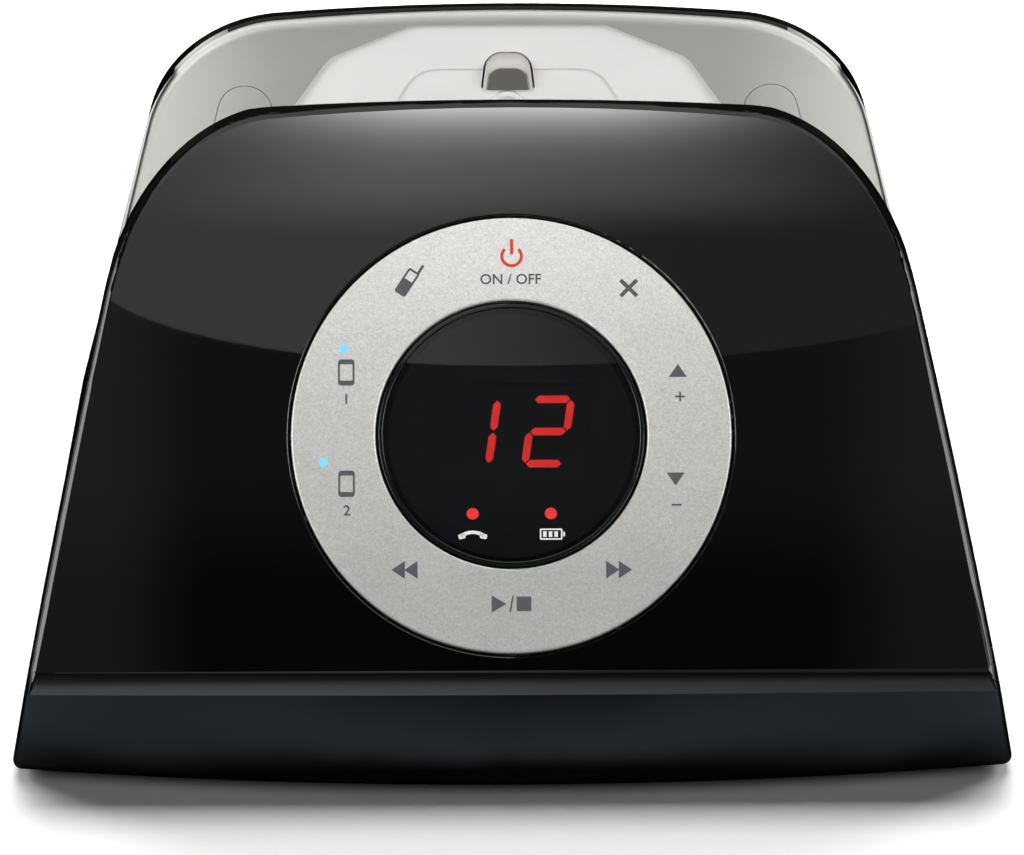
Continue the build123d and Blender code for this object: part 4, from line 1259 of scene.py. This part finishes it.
@dataclass
class KeyRing(Assembly):
    """The rocking key ring, its carrier, its lamp guides and the printed key signs."""

    coats: ClassVar[CoatPlan] = {
        Coat.RING: ("key_ring",),
        Coat.INNER: ("key_ring_carrier",),
        Coat.LENS: ("light_guides",),
        Coat.RUBBER_PAD: ("key_mat",),
        Coat.BOARD: ("key_board",),
        Coat.ZINC: ("key_board_screws",),
        Coat.BLUE_LAMP: ("cell_lamps",),
    }
    face: float = 0.35
    ink: float = 0.02
    sunk: float = 0.01
    capital: float = 1.6
    power_place: Point = (0.17, 27.3)
    switch_place: Point = (0.0, 23.8)
    delete_place: Point = (17.9, 22.3)
    find_place: Point = (-15.7, 23.3)
    louder_place: Point = (25.2, 9.6)
    plus_place: Point = (25.5, 5.6)
    softer_place: Point = (24.7, -7.0)
    minus_place: Point = (24.8, -10.9)
    forward_places: tuple[Point, ...] = ((15.1, -20.7), (17.0, -20.7))
    back_places: tuple[Point, ...] = ((-15.2, -20.6), (-17.1, -20.6))
    play_place: Point = (-2.0, -25.8)
    slash_place: Point = (-0.1, -25.8)
    stop_place: Point = (1.75, -25.8)
    phone_places: tuple[Point, ...] = ((-24.9, 9.5), (-24.85, -7.5))
    number_places: tuple[Point, ...] = ((-24.9, 5.5), (-24.8, -11.5))

    def print_sign(self, name: str, shapes: list[Outline], coat: Coat = Coat.INK) -> None:
        """Print one sign on the ring.

        Args:
            name: Name of the piece.
            shapes: Its shapes, in the panel's frame.
            coat: Its ink.
        """
        piece = flat_plate(name, shapes, self.face - self.sunk, self.face + self.ink)
        coat.value.dress(piece)
        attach(piece, Body.RING.value)
        LOG.info("%s: %s", name, coat.value.name)

    def pointer(self, place: Point, turn: float, wide: float = 1.35, tall: float = 2.0) -> Outline:
        """Triangle that looks up, turned and placed."""
        return Outline([(-wide, -tall / 2), (wide, -tall / 2), (0.0, tall / 2)]).moved(*place, turn)

    def volume(self, place: Point, upright: bool) -> list[Outline]:
        """Plus sign, or a minus sign without its upright bars.

        Args:
            place: Its middle.
            upright: Add the upright bars.

        Returns:
            Its bars.
        """
        x, y = place
        bars = [Outline(bar(1.5, 0.28)).moved(x, y)]
        if upright:
            bars += [Outline(bar(0.28, 0.61)).moved(x, y + side * 0.445) for side in (-1, 1)]
        return bars

    def power(self) -> list[Outline]:
        """Broken circle with an upright bar.

        Returns:
            The broken circle, then its bar.
        """
        x, y = self.power_place
        loop = arc(1.72, 134, 406) + arc(1.25, 406, 134)
        return [Outline(loop).moved(x, y), Outline(bar(0.5, 2.35)).moved(x, y + 1.45)]

    def delete(self, arm: float = 1.75, half: float = 0.3) -> list[Outline]:
        """Two crossed bars.

        Args:
            arm: Length of an arm from the middle.
            half: Half of its width.

        Returns:
            The cross as one shape.
        """
        loop = []
        for quarter in range(4):
            turn = math.radians(45 + 90 * quarter)
            cos, sin = math.cos(turn), math.sin(turn)
            for a, b in ((arm, -half), (arm, half), (half, half)):
                loop.append((a * cos - b * sin, a * sin + b * cos))
        return [Outline(loop).moved(*self.delete_place)]

    def handset(self, lean: float = -33.0) -> list[Outline]:
        """Plain leaning handset with a screen and an aerial.

        Args:
            lean: Turn in degrees, anticlockwise.

        Returns:
            The body with its screen, then the aerial.
        """
        screen = [(a, b + 1.1) for a, b in rounded(1.3, 1.45, 0.12)]
        parts = [Outline(rounded(1.95, 4.3, 0.35), screen), Outline(bar(0.42, 1.5)).moved(0.66, 2.8)]
        return [part.moved(*self.find_place, lean) for part in parts]

    def play_stop(self) -> list[Outline]:
        """Pointer, slash and square.

        Returns:
            The pointer, the slash and the square.
        """
        slash = Outline([(0.35, 1.25), (0.1, 1.25), (-0.35, -1.25), (-0.1, -1.25)])
        square = Outline(bar(2.2, 2.2)).moved(*self.stop_place)
        return [self.pointer(self.play_place, -90.0, 1.3, 2.2), slash.moved(*self.slash_place), square]

    def phone_line(self, index: int) -> list[Outline]:
        """Plain upright mobile phone with its number.

        Args:
            index: 0 or 1, for the first or the second.

        Returns:
            The phone's frame, then its number.
        """
        phone = Outline(rounded(2.5, 4.0, 0.5), rounded(1.9, 2.5, 0.15)).moved(*self.phone_places[index])
        number = words(str(index + 1), self.capital)
        return [phone] + [part.moved(*self.number_places[index]) for part in number]

    def build(self) -> None:
        """Print every sign."""
        switch = [part.moved(*self.switch_place) for part in words("ON / OFF", self.capital)]
        self.print_sign("sign_power", self.power(), Coat.RED_INK)
        signs = {
            "sign_switch": switch,
            "sign_delete": self.delete(),
            "sign_louder": [self.pointer(self.louder_place, 0.0), *self.volume(self.plus_place, True)],
            "sign_softer": [self.pointer(self.softer_place, 180.0), *self.volume(self.minus_place, False)],
            "sign_forward": [self.pointer(place, -90.0) for place in self.forward_places],
            "sign_back": [self.pointer(place, 90.0) for place in self.back_places],
            "sign_play_stop": self.play_stop(),
            "sign_find": self.handset(),
            "sign_line_1": self.phone_line(0),
            "sign_line_2": self.phone_line(1),
        }
        for name, shapes in signs.items():
            self.print_sign(name, shapes)


@dataclass
class CounterWindow(Assembly):
    """The window over the message counter, its printed mask, the counter and the two lamps."""

    coats: ClassVar[CoatPlan] = {
        Coat.BEZEL: ("window_bezel",),
        Coat.WINDOW: ("display_window",),
        Coat.FACE: ("display_module",),
        Coat.SEGMENT: ("lit_segments",),
        Coat.UNLIT: ("dark_segments",),
        Coat.RED_LAMP: ("message_lamps",),
    }
    radius: float = 19.2
    rim_steps: int = 128
    underside: float = -1.8
    mask_gap: float = 0.03
    mask_thick: float = 0.04
    slot_width: float = 22.6
    slot_height: float = 14.5
    slot_corner: float = 0.8
    slot_rise: float = 0.7
    lamp_spread: float = 5.9
    lamp_drop: float = 11.85
    lamp_hole: float = 0.93
    sign_drop: float = 15.2
    sign_low: float = -0.195
    sign_high: float = -0.17

    def mask(self) -> None:
        """Black print under the window, open over the counter and the lamps."""
        mesh = bmesh.new()
        turns = [step * math.tau / self.rim_steps for step in range(self.rim_steps)]
        rim = [(self.radius * math.cos(turn), self.radius * math.sin(turn)) for turn in turns]
        slot = rounded(self.slot_width, self.slot_height, self.slot_corner)
        holes = [[(x, y + self.slot_rise) for x, y in slot]]
        for side in (-1, 1):
            lamp = arc(self.lamp_hole, 0, 345, 23)
            holes.append([(x + side * self.lamp_spread, y - self.lamp_drop) for x, y in lamp])
        level = (self.underside - self.mask_gap) * MM
        edges = []
        for loop in [rim, *holes]:
            points = [mesh.verts.new((x * MM, y * MM, level)) for x, y in loop]
            edges += [mesh.edges.new((points[i], points[(i + 1) % len(points)])) for i in range(len(points))]
        bmesh.ops.triangle_fill(mesh, edges=edges, use_beauty=True, use_dissolve=False)
        inside = [face for face in mesh.faces if self.in_hole(face.calc_center_median() / MM)]
        bmesh.ops.delete(mesh, geom=inside, context="FACES_ONLY")
        grown = bmesh.ops.extrude_face_region(mesh, geom=mesh.faces[:])
        moved = [item for item in grown["geom"] if isinstance(item, bmesh.types.BMVert)]
        bmesh.ops.translate(mesh, verts=moved, vec=(0.0, 0.0, -self.mask_thick * MM))
        bmesh.ops.recalc_face_normals(mesh, faces=mesh.faces)
        self.keep(place_mesh("window_mask", mesh), Coat.MASK)

    def in_hole(self, point: Vector) -> bool:
        """True if a point of the mask lies over the counter or a lamp.

        Args:
            point: Point in the panel's frame, in mm.

        Returns:
            Whether it lies in an opening.
        """
        if abs(point.x) < self.slot_width / 2 and abs(point.y - self.slot_rise) < self.slot_height / 2:
            return True
        return math.hypot(abs(point.x) - self.lamp_spread, point.y + self.lamp_drop) < self.lamp_hole

    def keep(self, piece: Piece, coat: Coat) -> None:
        """Dress a piece and fix it to the housing.

        Args:
            piece: The piece.
            coat: Its finish.
        """
        coat.value.dress(piece)
        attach(piece, Body.HOUSING.value)
        LOG.info("%s: %s", piece.name, coat.value.name)

    def signs(self) -> None:
        """White signs under the lamps: a handset and a battery."""
        grip = []
        for radius, start, end in ((2.3, 150, 30), (1.5, 30, 150)):
            grip += [(x, y * 0.62) for x, y in arc(radius, start, end, 12)]
        handset = [Outline(grip).moved(0.0, -0.85)]
        for side in (-1, 1):
            handset.append(Outline(rounded(1.05, 0.75, 0.18)).moved(side * 1.62, -0.28, side * -12.0))
        case = Outline(rounded(3.4, 1.7, 0.22), rounded(2.95, 1.25, 0.1))
        battery = [case, Outline(bar(0.25, 0.7)).moved(1.95, 0.0)]
        battery += [Outline(bar(0.55, 0.85)).moved(step, 0.0) for step in (-0.95, -0.1, 0.75)]
        for name, shapes, side in (("sign_in_use", handset, -1), ("sign_charging", battery, 1)):
            placed = [shape.moved(side * self.lamp_spread, -self.sign_drop) for shape in shapes]
            self.keep(flat_plate(name, placed, self.sign_low, self.sign_high), Coat.WHITE_INK)

    def build(self) -> None:
        """Make the mask and the signs."""
        self.mask()
        self.signs()


@dataclass
class Housing(Assembly):
    """The two shells, the base plate, its screws and feet."""

    coats: ClassVar[CoatPlan] = {
        Coat.SHELL: ("front_shell",),
        Coat.REAR: ("rear_shell",),
        Coat.BASE: ("base_plate",),
        Coat.ZINC: ("base_screws",),
        Coat.RUBBER_FOOT: ("rubber_feet",),
    }


@dataclass
class Cradle(Assembly):
    """The silver liner, the grey pocket, the tab, the side caps and the charge contacts."""

    coats: ClassVar[CoatPlan] = {
        Coat.LINER: ("cradle_liner", "side_caps"),
        Coat.POCKET: ("cradle_pocket",),
        Coat.TAB: ("handset_tab",),
        Coat.NICKEL: ("left_charge_contact", "right_charge_contact"),
        Coat.INNER: ("contact_block",),
    }


@dataclass
class ContactSprings(Assembly):
    """Coils under the charge contacts, fixed to the housing; on the real base they shorten as the contacts
    are pushed in.
    """

    wire_radius: float = 0.0002
    turns: int = 4
    steps: int = 24
    sides: int = 10
    stroke: float = 0.002

    def coil(self, name: str, node: str) -> Piece:
        """Round wire wound along the axis of a construction spring.

        Args:
            name: Name of the piece.
            node: The spring that it stands for.

        Returns:
            The new object.
        """
        low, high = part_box(node)
        centre = Vector(((low[0] + high[0]) / 2, (low[1] + high[1]) / 2, low[2] + self.wire_radius))
        radius = (high[0] - low[0]) / 2 - self.wire_radius
        rise = high[2] - low[2] - 2 * self.wire_radius
        mesh = bmesh.new()
        rings = []
        count = self.turns * self.steps
        for index in range(count + 1):
            turn = 2 * math.pi * index / self.steps
            out = Vector((math.cos(turn), math.sin(turn), 0.0))
            middle = centre + radius * out + Vector((0.0, 0.0, rise * index / count))
            round_wire = []
            for side in range(self.sides):
                angle = 2 * math.pi * side / self.sides
                offset = math.cos(angle) * out + Vector((0.0, 0.0, math.sin(angle)))
                round_wire.append(mesh.verts.new(middle + self.wire_radius * offset))
            rings.append(round_wire)
        for first, second in zip(rings, rings[1:]):
            for side in range(self.sides):
                after = (side + 1) % self.sides
                mesh.faces.new((first[side], first[after], second[after], second[side]))
        mesh.faces.new(rings[0])
        mesh.faces.new(list(reversed(rings[-1])))
        bmesh.ops.recalc_face_normals(mesh, faces=mesh.faces)
        return add_piece(name, mesh)

    def build(self) -> None:
        """Wind both coils and fix each to the housing."""
        for side in ("left", "right"):
            node = f"{side}_contact_spring"
            piece = self.coil(f"{side}_coil_spring", node)
            Coat.ZINC.value.dress(piece)
            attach(piece, Body.HOUSING.value)
            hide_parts(node)
            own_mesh(piece)
            LOG.info("%s: on housing, shortens with %s_contact_slide", piece.name, side)


@dataclass
class Works(Assembly):
    """Boards, jacks, wiring and loudspeaker inside the housing."""

    coats: ClassVar[CoatPlan] = {
        Coat.BOARD: ("main_board", "radio_board", "antenna"),
        Coat.ZINC: ("main_board_screws",),
        Coat.CHIP: ("processor_chips", "line_transformer"),
        Coat.CAN: ("capacitors",),
        Coat.TIN: ("radio_shield",),
        Coat.INNER: ("power_jack", "line_jack"),
        Coat.GILT: ("line_contacts",),
        Coat.STAMPED: ("speaker_frame",),
        Coat.CONE: ("speaker_cone",),
        Coat.MAGNET: ("speaker_magnet",),
        Coat.CABLE: ("ribbon_cable",),
        Coat.RED_LEAD: ("speaker_leads",),
        Coat.BLACK_LEAD: ("charge_leads",),
    }


def field(left: float, right: float, low: float, high: float) -> Loop:
    """Rectangular outline between four edges."""
    return [(left, low), (right, low), (right, high), (left, high)]


@dataclass
class Studio:
    """Floor, reflecting cards, lamps, world and camera."""

    eye: Place = (-0.00461, -0.61345, 0.42575)
    aim: Place = (0.00672, 0.83936, -0.54354)
    lens: float = 163.16
    sensor: float = 36.0
    card_centre: Place = (0.00625, -0.57554, 0.76)
    card_up: Place = (0.0, 0.78635, 0.61778)
    lamp_aim: Place = (0.0, 0.0, 0.04)
    floor_grey: Colour = (0.80, 0.80, 0.80)
    floor_seen: Colour = (1.18, 1.18, 1.18)
    # floor_mirrored tints, and the numbers below shape, the painted shadow and light in the floor's
    # reflection
    floor_mirrored: Colour = (0.84, 1.0, 1.13)
    shadow_depth: float = 0.118
    shadow_least: float = 0.055
    shadow_taper: float = 1.05
    floor_level: float = 0.33
    floor_rise: float = 1.3
    sky_level: float = 0.10
    sky_mirrored: float = 0.04

    def camera(self) -> None:
        """Place the camera."""
        data = bpy.data.cameras.new("camera")
        data.lens, data.sensor_width = self.lens, self.sensor
        data.clip_start, data.clip_end = 0.01, 20.0
        camera = bpy.data.objects.new("camera", data)
        camera.location = self.eye
        camera.rotation_mode = "QUATERNION"
        camera.rotation_quaternion = Vector(self.aim).to_track_quat("-Z", "Y")
        bpy.context.scene.collection.objects.link(camera)
        bpy.context.scene.camera = camera

    def sheet(self, name: str, loop: Loop, placed: Matrix) -> Piece:
        """Flat stage sheet.

        Args:
            name: Its name.
            loop: Its outline, in metres.
            placed: Its transform.

        Returns:
            The new object.
        """
        mesh = bmesh.new()
        mesh.faces.new([mesh.verts.new((x, y, 0.0)) for x, y in loop])
        bmesh.ops.triangulate(mesh, faces=mesh.faces[:])
        piece = add_piece(name, mesh)
        piece.matrix_world = placed
        return piece

    def floor(self) -> None:
        """Pale floor, white to the camera; to glossy rays it carries painted shadow close to the object's
        foot, painted dimming far off and painted light that rises towards the sides.
        """
        piece = self.sheet("floor", field(-3.0, 3.0, -3.0, 3.0), Matrix.Identity(4))
        material = bpy.data.materials.new("floor")
        material.use_nodes = True
        tree = Tree(material.node_tree)
        material.node_tree.nodes.clear()
        path = tree.add("ShaderNodeLightPath")
        direct = tree.add("ShaderNodeBsdfDiffuse")
        place = tree.add("ShaderNodeTexCoord").outputs["Object"]
        across = tree.maths("ABSOLUTE", tree.axis(place, "X"))
        ahead = tree.product(tree.axis(place, "Y"), -1.0)
        taper = tree.maths("MULTIPLY_ADD", across, -self.shadow_taper, self.shadow_depth)
        share = tree.maths("DIVIDE", ahead, tree.maths("MAXIMUM", taper, self.shadow_least))
        # near is painted shadow close to the foot; away is painted dimming far off
        near = tree.ramp(share, 0.86, 1.22)
        away = tree.ramp(share, 1.25, 2.2, 1.0, 0.42)
        # painted light in reflections that rises towards the sides
        level = tree.maths("MULTIPLY_ADD", across, self.floor_rise, self.floor_level)
        painted_mirror_tone = tree.product(level, tree.product(near, away))
        painted_mirror_tone = tree.mix(1.0, painted_mirror_tone, self.floor_mirrored, "MULTIPLY")
        tone = tree.mix(path.outputs["Is Camera Ray"], self.floor_grey, self.floor_seen)
        tone = tree.mix(path.outputs["Is Glossy Ray"], tone, painted_mirror_tone)
        tree.feed(direct.inputs["Color"], tone)
        output = tree.add("ShaderNodeOutputMaterial")
        tree.feed(output.inputs["Surface"], direct.outputs[0])
        piece.data.materials.append(material)

    def glow(self, name: str, colour: Colour, strength: Any, clear: bool = False) -> bpy.types.Material:
        """Emitting material whose strength may be a function of a tree.

        Args:
            name: Its name.
            colour: Its colour.
            strength: A number, or a function from (tree, coordinates) to a socket.
            clear: Let what lies behind show through too.

        Returns:
            The material.
        """
        material = bpy.data.materials.new(name)
        material.use_nodes = True
        material.node_tree.nodes.clear()
        tree = Tree(material.node_tree)
        light = tree.add("ShaderNodeEmission")
        light.inputs["Color"].default_value = rgba(colour)
        coords = tree.add("ShaderNodeTexCoord").outputs["Object"]
        tree.feed(light.inputs["Strength"], strength(tree, coords) if callable(strength) else strength)
        surface = light.outputs[0]
        if clear:
            both = tree.add("ShaderNodeAddShader")
            tree.feed(both.inputs[0], surface)
            tree.feed(both.inputs[1], tree.add("ShaderNodeBsdfTransparent").outputs[0])
            surface = both.outputs[0]
        output = tree.add("ShaderNodeOutputMaterial")
        tree.feed(output.inputs["Surface"], surface)
        return material

    def reflector(self, name: str, loop: Loop, placed: Matrix, strength: Any, clear: bool = False) -> None:
        """Card that only glossy surfaces see.

        Args:
            name: Its name.
            loop: Its outline, in metres.
            placed: Its transform.
            strength: See glow.
            clear: See glow.
        """
        piece = self.sheet(name, loop, placed)
        piece.data.materials.append(self.glow(name, WHITE, strength, clear))
        piece.visible_camera = piece.visible_diffuse = piece.visible_shadow = False
        piece.visible_transmission = piece.visible_volume_scatter = False

    def key_loop(self) -> Loop:
        """Outline of the key card: two elliptic quarters below, a wide field above.

        Returns:
            The outline, in metres from the card's centre.
        """
        depth = 0.033
        turns = [math.pi / 2 * step / 24 for step in range(25)]
        left = [(-0.145 * math.sin(turn), depth - depth * math.cos(turn)) for turn in reversed(turns)]
        right = [(0.172 * math.sin(turn), depth - depth * math.cos(turn)) for turn in turns[1:]]
        start, end = [(-0.5, 0.62), (-0.5, 0.2), (-0.16, 0.09)], [(0.185, 0.09), (0.5, 0.2), (0.5, 0.62)]
        return [*start, *left, *right, *end][::-1]

    def key_strength(self, tree: Tree, coords: Any) -> Socket:
        """Brighter on the left, and even far above.

        Args:
            tree: Tree of the card's material.
            coords: The card's own coordinates.

        Returns:
            The strength's socket.
        """
        x, y = tree.axis(coords, "X"), tree.axis(coords, "Y")
        side = tree.ramp(x, -0.05, 0.06, 0.88, 0.30)
        near = tree.product(side, tree.ramp(y, 0.080, 0.093, 1.0, 0.0))
        far = tree.product(tree.ramp(y, 0.07, 0.30, 0.0, 1.5), tree.ramp(x, -0.12, 0.16, 1.0, 0.62))
        return tree.maths("ADD", near, far)

    def crest_strength(self, tree: Tree, coords: Any) -> Socket:
        """Steep rise towards the upper edge, strongest in the middle.

        Args:
            tree: Tree of the card's material.
            coords: The card's own coordinates.

        Returns:
            The strength's socket.
        """
        across = tree.maths("ABSOLUTE", tree.axis(coords, "X"))
        up = tree.axis(coords, "Y")
        middle = tree.ramp(across, 0.020, 0.078, 1.0, 0.0)
        soft = tree.product(tree.ramp(up, -0.0114, 0.0, 0.0, 1.1), middle)
        steep = tree.maths("EXPONENT", tree.maths("DIVIDE", tree.maths("SUBTRACT", up, 0.0121), 0.0032))
        held = tree.maths("MINIMUM", steep, 1.3)
        sharp = tree.product(held, 10.0, tree.ramp(across, 0.012, 0.055, 0.9, 0.12))
        return tree.maths("ADD", soft, sharp)

    def skirt_strength(self, tree: Tree, coords: Any) -> Socket:
        """Faint light at both ends, a little more on the left.

        Args:
            tree: Tree of the card's material.
            coords: The card's own coordinates.

        Returns:
            The strength's socket.
        """
        x, y = tree.axis(coords, "X"), tree.axis(coords, "Y")
        ends = tree.ramp(tree.maths("ABSOLUTE", x), 0.105, 0.145, 0.0, 0.17)
        ends = tree.product(ends, tree.ramp(x, -0.05, 0.05, 1.0, 0.75))
        return tree.maths("ADD", ends, tree.ramp(y, -0.085, -0.035, 0.0, 0.09))

    def basis(self, centre: Sequence[float], across: Sequence[float], up: Sequence[float]) -> Matrix:
        """Transform of a card from its centre, its x and its y direction.

        Args:
            centre: The card's centre.
            across: Its x direction.
            up: Its y direction.

        Returns:
            The transform.
        """
        x, y = Vector(across).normalized(), Vector(up).normalized()
        turn = Matrix((x, y, x.cross(y))).transposed()
        return Matrix.Translation(Vector(centre)) @ turn.to_4x4()

    def brow_strength(self, tree: Tree, coords: Any) -> Socket:
        """Even field that fades to the rear."""
        return tree.ramp(tree.axis(coords, "Y"), 0.2, 0.55, 1.3, 0.0)

    def back_strength(self, tree: Tree, coords: Any) -> Socket:
        """Brighter towards the upper edge."""
        return tree.ramp(tree.axis(coords, "Y"), 0.08, 0.3, 0.02, 1.4)

    def cards(self) -> None:
        """Key card with its skirt and crest, and the top, side and rear cards."""
        across = (1, 0, 0)
        key = self.basis(self.card_centre, across, self.card_up)
        skirt = Matrix.Translation(Vector((0.0, -0.012, 0.016))) @ key
        crest = self.basis((0.001, -0.088, 0.195), across, (0, 0.809, 0.588))
        brow = self.basis((0.0, 0.0, 0.75), across, (0, 1, 0))
        back = self.basis((0.0, 1.2, 0.75), (-1, 0, 0), (0, -0.35, 1))
        self.reflector("key_card", self.key_loop(), key, self.key_strength)
        self.reflector("skirt_card", field(-0.4, 0.4, -0.4, 0.03), skirt, self.skirt_strength)
        self.reflector("crest_card", field(-0.08, 0.08, -0.012, 0.0138), crest, self.crest_strength, True)
        self.reflector("brow_card", field(-0.45, 0.45, -0.19, 0.6), brow, self.brow_strength)
        for name, side in (("left_card", -1), ("right_card", 1)):
            placed = self.basis((side * 1.1, -0.15, 0.55), (0, side, 0), (0, 0, 1))
            self.reflector(name, field(-0.12, 0.12, -0.5, 0.5), placed, 2.2)
        self.reflector("back_card", field(-0.6, 0.6, -0.3, 0.3), back, self.back_strength)

    def lamp(self, name: str, place: Sequence[float], size: Point, power: float) -> bpy.types.Object:
        """Soft lamp aimed at the object.

        Args:
            name: Its name.
            place: Its position.
            size: Its width and height.
            power: Its power in watts.

        Returns:
            The new lamp.
        """
        data = bpy.data.lights.new(name, "AREA")
        data.shape, data.size, data.size_y, data.energy = "RECTANGLE", size[0], size[1], power
        lamp = bpy.data.objects.new(name, data)
        lamp.location = place
        lamp.rotation_mode = "QUATERNION"
        lamp.rotation_quaternion = (Vector(self.lamp_aim) - Vector(place)).to_track_quat("-Z", "Y")
        bpy.context.scene.collection.objects.link(lamp)
        return lamp

    def lamps(self) -> None:
        """Lamps that reflections don't show, above and beside, and front fills that spare the floor."""
        unmirrored = [
            self.lamp("overhead", (0.0, 0.80, 0.98), (1.1, 0.9), 25.0),
            self.lamp("left_side", (-1.0, 0.72, 0.45), (0.5, 0.5), 10.0),
            self.lamp("right_side", (1.0, 0.72, 0.45), (0.5, 0.5), 10.0),
        ]
        for lamp in unmirrored:
            lamp.visible_glossy = False
        fills = [
            self.lamp("left_fill", (-0.9, -0.7, 0.8), (0.7, 0.7), 10.0),
            self.lamp("right_fill", (0.9, -0.7, 0.8), (0.7, 0.7), 9.0),
        ]
        lit = bpy.data.collections.new("front_lit")
        lit.objects.link(bpy.data.objects["floor"])
        for fill in fills:
            fill.light_linking.receiver_collection = lit
        lit.collection_objects[0].light_linking.link_state = "EXCLUDE"

    def world(self) -> None:
        """Even pale surround, dim in reflections."""
        world = bpy.data.worlds.new("surround")
        bpy.context.scene.world = world
        world.use_nodes = True
        world.node_tree.nodes.clear()
        tree = Tree(world.node_tree)
        path = tree.add("ShaderNodeLightPath")
        sky = tree.add("ShaderNodeBackground")
        sky.inputs["Color"].default_value = rgba(WHITE)
        dimmer = self.sky_mirrored - self.sky_level
        strength = tree.maths("MULTIPLY_ADD", path.outputs["Is Glossy Ray"], dimmer, self.sky_level)
        strength = tree.maths("MAXIMUM", strength, path.outputs["Is Camera Ray"])
        tree.feed(sky.inputs["Strength"], strength)
        output = tree.add("ShaderNodeOutputWorld")
        tree.feed(output.inputs["Surface"], sky.outputs[0])

    def build(self) -> None:
        """Set the whole stage."""
        self.camera()
        self.floor()
        self.cards()
        self.lamps()
        self.world()
        bpy.context.scene.view_settings.view_transform = "Standard"


def main() -> None:
    """Dress every node, add the pieces that the construction leaves to print, and set the stage."""
    logging.basicConfig(level=logging.INFO, format="%(name)s %(message)s")
    for assembly in (Housing(), Cradle(), KeyRing(), CounterWindow(), Works(), ContactSprings()):
        assembly.dress()
        assembly.build()
    Studio().build()


if __name__ == "__main__":
    main()
